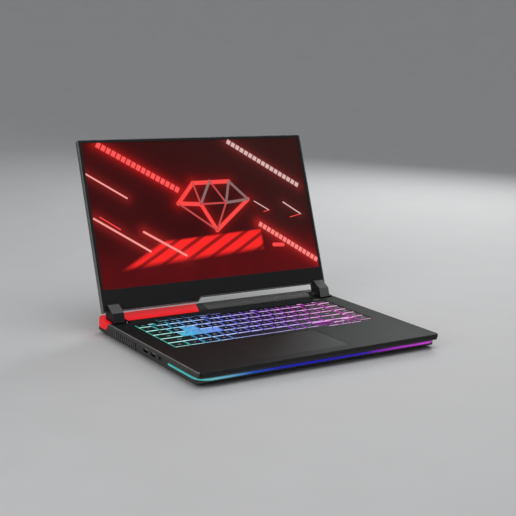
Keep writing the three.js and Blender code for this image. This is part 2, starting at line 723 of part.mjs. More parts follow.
// ---------------------------------------------------------------- inside the chassis
const boardTop = () => below(BOARD.drop);

/** The main circuit board: wide under the keyboard, narrow between the fans. */
function motherboard() {
  const wide = HALF_W - 6.5;
  const shoulder = FAN.y - FAN.depth / 2 - BOARD.clear;
  const rear = HALF_D - BOARD.fromRear;
  const outline = [
    [-wide, BOARD.front],
    [wide, BOARD.front],
    [wide, shoulder],
    [BOARD.waist, shoulder],
    [BOARD.waist, rear],
    [-BOARD.waist, rear],
    [-BOARD.waist, shoulder],
    [-wide, shoulder],
  ];
  return slab(outline, boardTop() - BOARD.thickness, boardTop());
}

/** The blower case: a box round the wheel, open below and at the rear. */
function fanHousing(side) {
  const top = below(FAN.drop);
  const bottom = top - FAN.height;
  const x = side * FAN.x;
  const [w, d] = [FAN.width / 2, FAN.depth / 2];
  const room = [bottom + FAN.skin, top - FAN.skin];
  const middle = (room[0] + room[1]) / 2;
  const box = block([x - w, x + w], [FAN.y - d, FAN.y + d], [bottom, top]);
  const spindle = rod("z", 2, room[1] - room[0], [x, FAN.y, middle], 12);
  return cutBy(box, [
    rod("z", FAN.radius + 3, room[1] - room[0], [x, FAN.y, middle], 40),
    block([x - w + 5, x + w - 5], [FAN.y, FAN.y + d + 1], room),
    rod("z", FAN.radius - 8, 4, [x, FAN.y, bottom], 32),
  ]).add(spindle);
}

/** The fan wheel: a bored hub, swept blades and a thin ring that ties them together. */
function fanWheel(side) {
  const top = below(FAN.drop + FAN.skin + 0.6);
  const bottom = below(FAN.drop + FAN.height - FAN.skin - 0.6);
  const height = top - bottom;
  const centre = [side * FAN.x, FAN.y, (top + bottom) / 2];
  const hub = rod("z", 12, height, centre, 24);
  const bladeCount = 22;
  const blades = Array.from({ length: bladeCount }, (_, i) => {
    const g = new THREE.BoxGeometry(FAN.radius - 10, 0.9, height - 1);
    g.translate((FAN.radius - 10) / 2 + 10, 0, 0);
    g.rotateZ(0).translate(0, -4, 0);
    g.rotateZ((2 * Math.PI * i) / bladeCount);
    return solid(g.translate(...centre));
  });
  const ring = rod("z", FAN.radius, 0.9, centre, 40).subtract(rod("z", FAN.radius - 1.4, 2, centre, 40));
  return joined([hub, ring, ...blades]).subtract(rod("z", 2.4, height + 2, centre, 12));
}

/** Upright fins on a base plate, between a fan and the rear vents. */
function finStack(side) {
  const x0 = side * FAN.x - FINS.width / 2;
  const y = [FAN.y + FAN.depth / 2 + 1, FAN.y + FAN.depth / 2 + 1 + FINS.depth];
  const top = below(PIPE.drop + PIPE.height + GAP);
  const pitch = (FINS.width - FINS.thickness) / (FINS.count - 1);
  const fins = Array.from({ length: FINS.count }, (_, i) =>
    block([x0 + i * pitch, x0 + i * pitch + FINS.thickness], y, [top - FINS.height, top]),
  );
  return joined([block([x0, x0 + FINS.width], y, [top - 0.6, top]), ...fins]);
}

/** A flattened heat pipe along plan points, at one height. */
function heatPipe(points) {
  const curve = new THREE.CatmullRomCurve3(points.map(([x, y]) => new THREE.Vector3(x, y, 0)), false, "centripetal");
  const [w, h] = [PIPE.width / 2, PIPE.height / 2];
  const section = new THREE.Shape([
    new THREE.Vector2(-h, -w + h),
    new THREE.Vector2(0, -w),
    new THREE.Vector2(h, -w + h),
    new THREE.Vector2(h, w - h),
    new THREE.Vector2(0, w),
    new THREE.Vector2(-h, w - h),
  ]);
  const g = new THREE.ExtrudeGeometry(section, { steps: 24, extrudePath: curve, bevelEnabled: false });
  const made = solid(g.translate(0, 0, below(PIPE.drop + PIPE.height / 2)));
  return made;
}

/** Cold plates over the two processors, joined to both fin stacks by pipes. */
function heatPipes() {
  const finY = FAN.y + FAN.depth / 2 + 1 + FINS.depth / 2;
  const plateTop = below(PIPE.drop + PIPE.height / 2);
  const plates = bothSides((side) =>
    block([side * 30 - 21, side * 30 + 21], [38, 78], [boardTop() + 1, plateTop]),
  );
  const outer = bothSides((side) =>
    heatPipe([
      [side * 30, 44],
      [side * 42, 80],
      [side * 58, finY - 3.5],
      [side * 80, finY],
      [side * (FAN.x + FINS.width / 2 - 2), finY],
    ]),
  );
  const bridge = heatPipe([
    [-46, 58],
    [-20, 62],
    [20, 62],
    [46, 58],
  ]);
  return joined([...plates, ...outer, bridge]);
}

const chip = (x, y, w, d, h) =>
  block([x - w / 2, x + w / 2], [y - d / 2, y + d / 2], [
    boardTop() - BOARD.thickness - GAP - h,
    boardTop() - BOARD.thickness - GAP,
  ]);

/** The battery pack: six flat cells in one frame, grooved between the cells. */
function battery() {
  const z0 = FLOOR_Z + TRAY.floor + GAP;
  const z = [z0, z0 + BATTERY.height];
  const y = [BATTERY.front, BATTERY.front + BATTERY.depth];
  const pack = block([-BATTERY.width / 2, BATTERY.width / 2], y, z);
  const grooves = [1, 2, 3, 4, 5].map((i) => {
    const x = -BATTERY.width / 2 + (i * BATTERY.width) / 6;
    return block([x - 0.8, x + 0.8], [y[0] + 3, y[1] - 3], [z[1] - 1, z[1] + 1]);
  });
  return cutBy(pack, grooves);
}

/** A sealed speaker box with a recessed driver window facing down. */
function speaker(side) {
  const z0 = FLOOR_Z + TRAY.floor + GAP;
  const [x0, x1] = span(side, SPEAKER.inner, SPEAKER.inner + SPEAKER.width);
  const y = [SPEAKER.front, SPEAKER.front + SPEAKER.depth];
  const box = slab(roundedOutline([x0, x1], y, 3, 3), z0, z0 + SPEAKER.height);
  return box.subtract(block([x0 + 3, x1 - 3], [y[0] + 8, y[0] + 34], [z0 - 1, z0 + 1]));
}

// ---------------------------------------------------------------- hinges
/** The fixed half of a hinge: a barrel on an upright lug, and a foot along the floor. */
function hingeBracket(side) {
  const inner = ARM.inner - 0.6 - BRACKET.thickness;
  const [x0, x1] = span(side, inner, inner + BRACKET.thickness);
  const bottom = FLOOR_Z + TRAY.floor + GAP;
  const foot = block([x0, x1], [PIVOT_Y - BRACKET.reach, PIVOT_Y + 10], [bottom, bottom + BRACKET.foot]);
  const lug = block([x0, x1], [PIVOT_Y - 3.4, PIVOT_Y + 3.4], [bottom, PIVOT_Z]);
  const barrel = rod("x", BRACKET.barrel, BRACKET.thickness, [(x0 + x1) / 2, PIVOT_Y, PIVOT_Z]);
  const bore = rod("x", BRACKET.pin + GAP, BRACKET.thickness + 2, [(x0 + x1) / 2, PIVOT_Y, PIVOT_Z]);
  return joined([foot, lug, barrel]).subtract(bore);
}

// Lid pieces are drawn in the lid's own frame: origin on the hinge axis, +Z up the lid,
// +Y out through its back, so that its inner face is the plane y = 0.
const LID_LOW = PIVOT.lidReach;
const LID_TOP = LID_LOW + LID.length;
const LEAF = { plate: [2, 4], top: LID_LOW + 20, inner: ARM.inner + 1, outer: ARM.outer - 1, knuckle: 3.4 };

/** A (x, z) outline of the lid frame drawn through from y0 to y1. */
function lidPlate(points, y0, y1) {
  const shape = new THREE.Shape(points.map(([x, z]) => new THREE.Vector2(x, z)));
  const g = new THREE.ExtrudeGeometry(shape, { depth: y1 - y0, bevelEnabled: false });
  return solid(g.rotateX(Math.PI / 2).translate(0, y1, 0));
}

/** The lid's outline drawn in by an amount: square below with one step, rounded above. */
function lidOutline(inset) {
  const half = HALF_W - inset;
  const low = LID_LOW + inset;
  const top = roundedOutline([-half, half], [low, LID_TOP - inset], Math.max(LID.cornerRadius - inset, 0.6));
  const upper = top.slice(0, top.length / 2);
  return [
    ...upper,
    [-half, low],
    [LID.stepX - inset / 2, low],
    [LID.stepX + LID.stepRun - inset / 2, low + LID.step],
    [half, low + LID.step],
  ];
}

/** The notch that the hinge arm fills, grown by a clearance. */
const armNotch = (side, y0, y1) =>
  block(span(side, ARM.inner - GAP, ARM.outer + GAP), [y0, y1], [LID_LOW - 1, LID_LOW + ARM.top + GAP]);

/** The outer shell of the lid, a tray with a low rim. */
function lidCover() {
  const shell = lidPlate(lidOutline(0), 0, LID.thickness);
  const hollow = lidPlate(lidOutline(LID.rim), -1, LID.thickness - LID.skin);
  return cutBy(shell, [hollow, ...bothSides((side) => armNotch(side, -1, LID.thickness + 1))]);
}

/** The frame round the screen, with the deep chin below it. */
function screenBezel() {
  const frame = lidPlate(lidOutline(LID.rim + GAP), 0, BEZEL.thickness);
  const low = LID_LOW + SCREEN.chin;
  const window = block([-SCREEN.width / 2, SCREEN.width / 2], [-1, 3], [low, low + SCREEN.height]);
  return cutBy(frame, [window, ...bothSides((side) => armNotch(side, -1, LID.thickness))]);
}

/** The display panel behind the bezel. */
function displayPanel() {
  const y0 = BEZEL.thickness + GAP;
  const half = SCREEN.width / 2 + SCREEN.border;
  const low = LID_LOW + SCREEN.chin;
  return block([-half, half], [y0, y0 + SCREEN.thickness], [low - 5, low + SCREEN.height + 1.6]);
}

/** The hollow arm that carries the lid round the hinge axis and dips into the slot when it shuts. */
function hingeArm(side) {
  const top = LID_LOW + ARM.top;
  const back = LID.thickness - 0.2;
  const profile = [
    [back, top],
    [-3.2, top],
    [-ARM.depth, ARM.fold],
    [-ARM.depth, -5.5],
    [-ARM.depth + 3, -8],
    [-8, -9],
    [2, -9],
    [back, -6],
  ];
  const arm = sideways(profile, ...span(side, ARM.inner, ARM.outer));
  const [x0, x1] = span(side, LEAF.inner - GAP, LEAF.outer + GAP);
  const reach = LEAF.knuckle + GAP;
  const pinHole = rod("x", BRACKET.pin + GAP, 4, [side * ARM.inner, 0, 0]);
  return cutBy(arm, [
    block([x0, x1], [LEAF.plate[0] - GAP, LEAF.plate[1] + GAP], [-reach, top + 1]),
    block([x0, x1], [-reach, LEAF.plate[1] + GAP], [-reach, reach]),
    pinHole,
  ]);
}

/** The moving half of a hinge: a leaf that runs up behind the bezel, a knuckle, and its pin. */
function hingeLeaf(side) {
  const [x0, x1] = span(side, LEAF.inner, LEAF.outer);
  const plate = block([x0, x1], LEAF.plate, [-LEAF.knuckle, LEAF.top]);
  const knuckle = block([x0, x1], [-LEAF.knuckle, LEAF.plate[1]], [-LEAF.knuckle, LEAF.knuckle]);
  const pinEnd = ARM.inner - 1 - BRACKET.thickness;
  const length = LEAF.inner + 2 - pinEnd;
  const pin = rod("x", BRACKET.pin, length, [side * (pinEnd + length / 2), 0, 0]);
  return joined([plate, knuckle, pin]);
}

// ---------------------------------------------------------------- the object
const chassis = new THREE.Group();
const lid = new THREE.Group();
lid.position.set(0, PIVOT_Y, PIVOT_Z);
lid.rotation.x = -LID.lean;

const sideName = (side) => (side < 0 ? "left" : "right");
const portCuts = [
  ...SOCKETS,
  { wall: "left", ...AUDIO },
  { wall: "rear", ...POWER_INLET },
].map(socketCut);

chassis.add(
  node("bottom_cover", bottomCover(portCuts), FINISH.tray),
  node("keyboard_deck", keyboardDeck(), FINISH.deck),
  node("accent_strip", accentStrip(), FINISH.red),
  node("vent_strip", ventStrip(), FINISH.trim),
  node("corner_cap_left", cornerCap(-1), FINISH.red),
  node("corner_cap_right", cornerCap(1), FINISH.trim),
  node("light_bar", lightBar(), FINISH.light),
  node("keyboard_plate", keyboardPlate(), FINISH.black),
  node("touchpad", touchpad(), FINISH.deck),
  node("power_button", powerButton(), FINISH.trim),
  node("motherboard", motherboard(), FINISH.board),
  node("heat_pipes", heatPipes(), FINISH.copper),
  node("battery_pack", battery(), FINISH.black),
  node("memory_module", chip(-25, 6, 69.6, 30, 2.6), FINISH.board),
  node("storage_module", chip(60, 6, 80, 22, 2.4), FINISH.board),
  node("headphone_jack", audioJack(), FINISH.black),
  node("power_inlet", powerInlet(), FINISH.black),
);
for (const part of SOCKETS) {
  chassis.add(node(part.name, socket(part), FINISH.steel));
}
for (const { name, x, y } of FEET) {
  chassis.add(node(name, block(x, y, [0, FLOOR_Z + FOOT_POCKET - SEAT]), FINISH.rubber));
}
for (const side of [-1, 1]) {
  chassis.add(
    node(`fan_housing_${sideName(side)}`, fanHousing(side), FINISH.black),
    node(`fan_wheel_${sideName(side)}`, fanWheel(side), FINISH.black),
    node(`fin_stack_${sideName(side)}`, finStack(side), FINISH.copper),
    node(`speaker_${sideName(side)}`, speaker(side), FINISH.black),
    node(`hinge_bracket_${sideName(side)}`, hingeBracket(side), FINISH.steel),
  );
  lid.add(
    node(`hinge_arm_${sideName(side)}`, hingeArm(side), FINISH.hinge),
    node(`hinge_leaf_${sideName(side)}`, hingeLeaf(side), FINISH.steel),
  );
}
lid.add(
  node("lid_cover", lidCover(), FINISH.lid),
  node("screen_bezel", screenBezel(), FINISH.bezel),
  node("display_panel", displayPanel(), FINISH.screen),
);
chassis.add(
  node("hotkeys", hotkeyBank(), FINISH.key),
  node("function_keys", keyBank(functionKeys()), FINISH.key),
  node("number_keys", keyBank([...ROWS.number, sideColumnKey(4)]), FINISH.key),
  node("upper_letter_keys", keyBank([...without(ROWS.upper, W_INDEX), sideColumnKey(3)]), FINISH.key),
  node(
    "home_letter_keys",
    keyBank([...without(ROWS.home, A_INDEX, A_INDEX + 1, A_INDEX + 2), sideColumnKey(2)]),
    FINISH.key,
  ),
  node("lower_letter_keys", keyBank([...ROWS.lower, sideColumnKey(1)]), FINISH.key),
  node("modifier_keys", keyBank([...without(ROWS.modifiers, SPACE_INDEX), sideColumnKey(0)]), FINISH.key),
  node("space_bar", loneKey(ROWS.modifiers[SPACE_INDEX]), FINISH.key),
  node("key_w", loneKey(ROWS.upper[W_INDEX]), FINISH.gameKey),
  node("key_a", loneKey(ROWS.home[A_INDEX]), FINISH.gameKey),
  node("key_s", loneKey(ROWS.home[A_INDEX + 1]), FINISH.gameKey),
  node("key_d", loneKey(ROWS.home[A_INDEX + 2]), FINISH.gameKey),
  node("arrow_key_left", arrowKey(0), FINISH.key),
  node("arrow_key_down", arrowKey(1), FINISH.key),
  node("arrow_key_right", arrowKey(2), FINISH.key),
  node("arrow_key_up", upKey(), FINISH.key),
);

const laptop = new THREE.Group();
laptop.add(chassis, lid);

// The origin is the middle of the whole object's footprint, on the table.
laptop.updateMatrixWorld(true);
const extent = new THREE.Box3().setFromObject(laptop, true);
laptop.position.y = -(extent.min.y + extent.max.y) / 2;

export default laptop;
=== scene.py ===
"""A fifteen-inch gaming laptop computer with its lid open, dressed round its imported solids.

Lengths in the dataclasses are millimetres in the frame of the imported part: +X is the user's
right, +Y is away from the user and +Z is up. Blender's own lengths are metres.
"""

from __future__ import annotations

import json
import logging
import math
from dataclasses import dataclass
from enum import Enum
from typing import Callable, Iterable, Sequence

import bmesh
import bpy
from mathutils import Matrix, Vector


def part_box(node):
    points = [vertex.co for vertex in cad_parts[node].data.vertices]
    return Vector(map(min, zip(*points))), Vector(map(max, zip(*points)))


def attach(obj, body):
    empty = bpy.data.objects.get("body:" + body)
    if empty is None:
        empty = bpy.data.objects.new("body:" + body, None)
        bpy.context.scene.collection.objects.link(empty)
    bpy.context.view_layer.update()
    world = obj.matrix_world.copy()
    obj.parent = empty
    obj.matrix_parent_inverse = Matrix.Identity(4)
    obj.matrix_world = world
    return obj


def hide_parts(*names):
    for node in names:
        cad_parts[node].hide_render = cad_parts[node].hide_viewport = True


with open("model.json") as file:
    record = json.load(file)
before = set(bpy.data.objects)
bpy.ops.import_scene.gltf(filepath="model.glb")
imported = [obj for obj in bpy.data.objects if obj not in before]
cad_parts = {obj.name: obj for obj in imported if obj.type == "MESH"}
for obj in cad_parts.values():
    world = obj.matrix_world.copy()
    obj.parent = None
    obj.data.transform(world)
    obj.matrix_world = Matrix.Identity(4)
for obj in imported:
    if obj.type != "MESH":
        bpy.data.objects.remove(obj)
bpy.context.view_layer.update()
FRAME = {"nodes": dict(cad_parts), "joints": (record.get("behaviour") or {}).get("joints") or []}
LOG = logging.getLogger("laptop")
MM = 0.001
WHITE = (1.0, 1.0, 1.0)
EDGE_LAYER = "edge"
SCREEN_CHART = "screen"

Colour = tuple[float, float, float]
Point2 = tuple[float, float]
Point3 = tuple[float, float, float]
Socket = bpy.types.NodeSocket
Inputs = bpy.types.bpy_prop_collection
Outputs = bpy.types.bpy_prop_collection


# ---------------------------------------------------------------- node graphs
class Graph:
    """A node tree that grows by short calls."""

    def __init__(self, tree: bpy.types.NodeTree) -> None:
        """Empties a material's or a group's tree and takes it over."""
        self.tree = tree
        tree.nodes.clear()

    def put(self, target: Socket, value: object) -> None:
        """Links a socket to a value, or sets it.

        Args:
            target: the input.
            value: an output socket, a number, or a tuple of numbers.
        """
        if isinstance(value, bpy.types.NodeSocket):
            self.tree.links.new(value, target)
        elif isinstance(value, tuple) and len(value) == 3 and target.type == "RGBA":
            target.default_value = (*value, 1.0)
        else:
            target.default_value = value

    def node(self, kind: str, inputs: dict | None = None, **props: object) -> bpy.types.Node:
        """Adds a node.

        Args:
            kind: the node's type name.
            inputs: input names or numbers, with what goes into each.
            **props: the node's own settings.

        Returns:
            The new node.
        """
        made = self.tree.nodes.new(kind)
        for key, value in props.items():
            setattr(made, key, value)
        for key, value in (inputs or {}).items():
            self.put(made.inputs[key], value)
        return made

    def math(self, operation: str, *values: object, clamp: bool = False) -> Socket:
        """A Math node's result.

        Args:
            operation: the node's operation.
            *values: its inputs in order.
            clamp: whether the result stays between 0 and 1.

        Returns:
            The output socket.
        """
        made = self.node("ShaderNodeMath", operation=operation, use_clamp=clamp)
        for socket, value in zip(made.inputs, values):
            self.put(socket, value)
        return made.outputs[0]

    def mix(self, factor: object, a: object, b: object, blend: str = "MIX") -> Socket:
        """A colour mix.

        Args:
            factor: how much of b there is.
            a: the first colour.
            b: the second colour.
            blend: the way they mix.

        Returns:
            The mixed colour.
        """
        made = self.node("ShaderNodeMix", data_type="RGBA", blend_type=blend)
        self.put(made.inputs["Factor"], factor)
        self.put(made.inputs[6], a)
        self.put(made.inputs[7], b)
        return made.outputs[2]

    def span(
        self, value: object, low: float, high: float, to_low: float = 0.0, to_high: float = 1.0
    ) -> Socket:
        """Maps a value smoothly from one range to another.

        Args:
            value: what is mapped.
            low: the start of its range.
            high: the end of its range.
            to_low: what the start becomes.
            to_high: what the end becomes.

        Returns:
            The mapped value.
        """
        made = self.node(
            "ShaderNodeMapRange",
            {"Value": value, 1: low, 2: high, 3: to_low, 4: to_high},
            interpolation_type="SMOOTHSTEP",
        )
        return made.outputs[0]

    def noise(self, vector: object, scale: object, detail: float = 3.0, roughness: float = 0.5) -> Socket:
        """Three-dimensional noise between 0 and 1.

        Args:
            vector: where it is read.
            scale: cells in one metre.
            detail: octaves.
            roughness: how strong the fine octaves are.

        Returns:
            The noise value.
        """
        inputs = {"Vector": vector, "Scale": scale, "Detail": detail, "Roughness": roughness}
        return self.node("ShaderNodeTexNoise", inputs).outputs["Fac"]

    def bump(self, height: Socket, strength: float, depth: float) -> Socket:
        """Relief on a surface.

        Args:
            height: how high each point is, 0 to 1.
            strength: how much of the relief shows.
            depth: its depth in millimetres.

        Returns:
            The normal.
        """
        inputs = {"Height": height, "Strength": strength, "Distance": depth * MM}
        return self.node("ShaderNodeBump", inputs).outputs[0]

    def place(self) -> Socket:
        """The place of a point in the object's own frame, in metres."""
        return self.node("ShaderNodeTexCoord").outputs["Object"]

    def split(self, vector: object) -> Outputs:
        """The X, Y and Z outputs of a vector."""
        return self.node("ShaderNodeSeparateXYZ", {0: vector}).outputs

    def blend(self, first: Socket, share: float, second: Socket, clamp: bool = False) -> Socket:
        """A weighted sum of two values.

        Args:
            first: the first value.
            share: its weight: the second value has the rest.
            second: the second value.
            clamp: whether the sum stays between 0 and 1.

        Returns:
            The sum.
        """
        rest = round(1.0 - share, 6)
        return self.math(
            "ADD", self.math("MULTIPLY", first, share), self.math("MULTIPLY", second, rest), clamp=clamp
        )

    def dimmed(self, colour: Socket, share: Socket) -> Socket:
        """A colour times a share of its light.

        Args:
            colour: the full colour.
            share: how much of it is left, 0 to 1.

        Returns:
            The dimmed colour.
        """
        grey = self.node("ShaderNodeCombineColor", {0: share, 1: share, 2: share}).outputs[0]
        return self.mix(1.0, colour, grey, "MULTIPLY")

    def vector(self, operation: str, *values: object) -> bpy.types.Node:
        """Adds a Vector Math node.

        Args:
            operation: the node's operation.
            *values: its inputs in order.

        Returns:
            The new node.
        """
        made = self.node("ShaderNodeVectorMath", operation=operation)
        for socket, value in zip(made.inputs, values):
            self.put(socket, value)
        return made

    def ramp(self, value: object, stops: Sequence[tuple[float, Colour]]) -> Socket:
        """A colour ramp.

        Args:
            value: where on the ramp, 0 to 1.
            stops: places and colours.

        Returns:
            The colour.
        """
        made = self.node("ShaderNodeValToRGB", {"Fac": value})
        bar = made.color_ramp
        while len(bar.elements) < len(stops):
            bar.elements.new(0.5)
        for element, (place, colour) in zip(bar.elements, stops):
            element.position = place
            element.color = (*colour, 1.0)
        return made.outputs["Color"]


class Kind(Enum):
    """The kinds of socket that a group shows."""

    NUMBER = "NodeSocketFloat"
    VECTOR = "NodeSocketVector"
    COLOUR = "NodeSocketColor"


def fill_grain(graph: Graph, taken: dict[str, Socket]) -> dict[str, Socket]:
    """The inside of the grain group: moulded cells over fine noise.

    Args:
        graph: the group's graph.
        taken: Scale, in cells to the metre.

    Returns:
        Height and Shade, both 0 to 1.
    """
    place = graph.place()
    inputs = {"Vector": place, "Scale": taken["Scale"]}
    cells = graph.node("ShaderNodeTexVoronoi", inputs, feature="SMOOTH_F1").outputs["Distance"]
    fine = graph.noise(place, graph.math("MULTIPLY", taken["Scale"], 2.3), 4.0, 0.6)
    cloud = graph.noise(place, 14.0, 5.0, 0.55)
    return {"Height": graph.blend(cells, 0.6, fine), "Shade": graph.blend(fine, 0.35, cloud, clamp=True)}


def fill_wear(graph: Graph, taken: dict[str, Socket]) -> dict[str, Socket]:
    """The inside of the edge wear group: the rubbed parts of rounded edges.

    Args:
        graph: the group's graph.
        taken: Amount, 0 to 1.

    Returns:
        Mask, 0 to 1.
    """
    place = graph.place()
    edge = graph.node("ShaderNodeAttribute", attribute_name=EDGE_LAYER).outputs["Fac"]
    patch = graph.noise(place, 45.0, 6.0, 0.65)
    rubbed = graph.span(patch, 0.42, 0.68)
    mask = graph.math("MULTIPLY", graph.math("MULTIPLY", edge, rubbed), taken["Amount"], clamp=True)
    return {"Mask": mask}


def fill_smudge(graph: Graph, taken: dict[str, Socket]) -> dict[str, Socket]:
    """The inside of the smudge group: broad, faint traces of handling.

    Args:
        graph: the group's graph.
        taken: Amount, 0 to 1.

    Returns:
        Mask, 0 to 1.
    """
    place = graph.place()
    broad = graph.span(graph.noise(place, 9.0, 4.0, 0.6), 0.45, 0.75)
    streak = graph.noise(place, 60.0, 6.0, 0.7)
    mask = graph.math("MULTIPLY", graph.math("MULTIPLY", broad, streak), taken["Amount"], clamp=True)
    return {"Mask": mask}


def fill_brush(graph: Graph, taken: dict[str, Socket]) -> dict[str, Socket]:
    """The inside of the brushed metal group: long thin streaks along X.

    Args:
        graph: the group's graph.
        taken: Fineness, in streaks to the metre.

    Returns:
        Height and Shade, both 0 to 1.
    """
    inputs = {"Vector": graph.place(), "Scale": (0.015, 1.0, 1.0)}
    streak = graph.noise(graph.node("ShaderNodeMapping", inputs).outputs[0], taken["Fineness"], 4.0, 0.7)
    cloud = graph.noise(graph.place(), 10.0, 3.0, 0.5)
    return {"Height": streak, "Shade": graph.blend(streak, 0.6, cloud, clamp=True)}


def light_along(
    graph: Graph, taken: dict[str, Socket], left: float, right: float, stops: Sequence[tuple[float, Colour]]
) -> dict[str, Socket]:
    """The colours of a row of lamps that runs along X.

    Args:
        graph: the group's graph.
        taken: Whiteness, 0 to 1.
        left: where the row starts, in metres.
        right: where it ends, in metres.
        stops: places from 0 to 1 along it, and their colours.

    Returns:
        Colour.
    """
    along = graph.split(graph.place())["X"]
    where = graph.node("ShaderNodeMapRange", {"Value": along, 1: left, 2: right}).outputs[0]
    return {"Colour": graph.mix(taken["Whiteness"], graph.ramp(where, stops), WHITE)}


def fill_key_light(graph: Graph, taken: dict[str, Socket]) -> dict[str, Socket]:
    """The inside of the key light group: the colours under the keys from left to right.

    Args:
        graph: the group's graph.
        taken: Whiteness, 0 to 1.

    Returns:
        Colour.
    """
    stops = [
        (0.0, (0.08, 0.70, 0.50)),
        (0.08, (0.08, 0.66, 0.62)),
        (0.16, (0.05, 0.50, 0.88)),
        (0.28, (0.16, 0.34, 1.0)),
        (0.43, (0.16, 0.15, 0.92)),
        (0.60, (0.34, 0.09, 0.85)),
        (0.78, (0.62, 0.05, 0.66)),
        (1.0, (0.78, 0.16, 0.60)),
    ]
    return light_along(graph, taken, -0.155, 0.15, stops)


def fill_bar_light(graph: Graph, taken: dict[str, Socket]) -> dict[str, Socket]:
    """The inside of the bar light group: the colours along the front from left to right.

    Args:
        graph: the group's graph.
        taken: Whiteness, 0 to 1.

    Returns:
        Colour.
    """
    stops = [
        (0.0, (0.06, 0.42, 0.40)),
        (0.05, (0.14, 0.50, 0.54)),
        (0.11, (0.12, 0.38, 0.55)),
        (0.20, (0.012, 0.07, 0.42)),
        (0.30, (0.008, 0.012, 0.38)),
        (0.50, (0.010, 0.004, 0.40)),
        (0.66, (0.03, 0.008, 0.38)),
        (0.75, (0.27, 0.018, 0.44)),
        (0.95, (0.56, 0.05, 0.60)),
        (1.0, (0.05, 0.01, 0.06)),
    ]
    return light_along(graph, taken, -0.177, 0.177, stops)


def fill_neon_bar(graph: Graph, taken: dict[str, Socket]) -> dict[str, Socket]:
    """The inside of the neon bar group: a round-ended bar of light and the haze round it.

    Args:
        graph: the group's graph.
        taken: Point, Start, End, and Half Width, in screen heights, and Blocks, the pieces in it.

    Returns:
        Core and Haze, both 0 to 1.
    """
    reach = graph.vector("SUBTRACT", taken["Point"], taken["Start"]).outputs[0]
    run = graph.vector("SUBTRACT", taken["End"], taken["Start"]).outputs[0]
    share = graph.math(
        "DIVIDE",
        graph.vector("DOT_PRODUCT", reach, run).outputs["Value"],
        graph.vector("DOT_PRODUCT", run, run).outputs["Value"],
        clamp=True,
    )
    foot = graph.node("ShaderNodeVectorMath", {0: run, "Scale": share}, operation="SCALE").outputs[0]
    away = graph.vector("LENGTH", graph.vector("SUBTRACT", reach, foot).outputs[0]).outputs["Value"]
    ratio = graph.math("DIVIDE", away, taken["Half Width"])
    turns = graph.math("MULTIPLY", share, graph.math("MULTIPLY", taken["Blocks"], math.pi))
    wave = graph.math("ABSOLUTE", graph.math("SINE", turns))
    broken = graph.math("MAXIMUM", graph.span(wave, 0.15, 0.5), graph.math("LESS_THAN", taken["Blocks"], 0.5))
    core = graph.math("MULTIPLY", graph.span(ratio, 1.25, 0.7), broken)
    fall = graph.math("POWER", graph.math("MULTIPLY", away, 24.0), 3.0)
    haze = graph.math("DIVIDE", 1.0, graph.math("ADD", 1.0, fall))
    return {"Core": core, "Haze": haze}


@dataclass(frozen=True)
class EffectPlan:
    """What an effect's group is built from: its name, its inputs and outputs, and what draws its inside."""

    label: str
    takes: dict[str, Kind]
    gives: dict[str, Kind]
    fill: Callable[[Graph, dict[str, Socket]], dict[str, Socket]]

    def tree(self) -> bpy.types.NodeTree:
        """The shader node group, built on first use.

        Returns:
            The group's tree.
        """
        found = bpy.data.node_groups.get(self.label)
        if found:
            return found
        tree = bpy.data.node_groups.new(self.label, "ShaderNodeTree")
        for label, kind in self.takes.items():
            tree.interface.new_socket(label, in_out="INPUT", socket_type=kind.value)
        for label, kind in self.gives.items():
            tree.interface.new_socket(label, in_out="OUTPUT", socket_type=kind.value)
        graph = Graph(tree)
        entry = graph.node("NodeGroupInput")
        leave = graph.node("NodeGroupOutput")
        for label, value in self.fill(graph, {label: entry.outputs[label] for label in self.takes}).items():
            graph.put(leave.inputs[label], value)
        return tree


MASKED = ({"Amount": Kind.NUMBER}, {"Mask": Kind.NUMBER})
RELIEF = {"Height": Kind.NUMBER, "Shade": Kind.NUMBER}
LAMPS = ({"Whiteness": Kind.NUMBER}, {"Colour": Kind.COLOUR})
BAR_ENDS = {"Point": Kind.VECTOR, "Start": Kind.VECTOR, "End": Kind.VECTOR}
BAR_SIZES = {"Half Width": Kind.NUMBER, "Blocks": Kind.NUMBER}


class Effect(Enum):
    """The effects that several finishes share, each a shader node group."""

    GRAIN = EffectPlan("surface_grain", {"Scale": Kind.NUMBER}, RELIEF, fill_grain)
    WEAR = EffectPlan("edge_wear", *MASKED, fill_wear)
    SMUDGE = EffectPlan("smudges", *MASKED, fill_smudge)
    BRUSH = EffectPlan("brushed_streaks", {"Fineness": Kind.NUMBER}, RELIEF, fill_brush)
    KEY_LIGHT = EffectPlan("key_light", *LAMPS, fill_key_light)
    BAR_LIGHT = EffectPlan("bar_light", *LAMPS, fill_bar_light)
    NEON_BAR = EffectPlan(
        "neon_bar", {**BAR_ENDS, **BAR_SIZES}, {"Core": Kind.NUMBER, "Haze": Kind.NUMBER}, fill_neon_bar
    )

    def place_in(self, graph: Graph, **inputs: object) -> Outputs:
        """Places the effect in a material.

        Args:
            graph: the material's graph.
            **inputs: its input values, with _ for a space in an input's name.

        Returns:
            The outputs of its node.
        """
        made = graph.node("ShaderNodeGroup", node_tree=self.value.tree())
        for label, value in inputs.items():
            graph.put(made.inputs[label.replace("_", " ")], value)
        return made.outputs


# ---------------------------------------------------------------- finishes
def scaled(colour: Colour, factor: float, lift: float = 0.0) -> Colour:
    """A colour made lighter or darker, with no part over 1.

    Args:
        colour: the colour.
        factor: what it is multiplied by.
        lift: what is added after that.

    Returns:
        The new colour.
    """
    red, green, blue = (min(factor * part + lift, 1.0) for part in colour)
    return red, green, blue


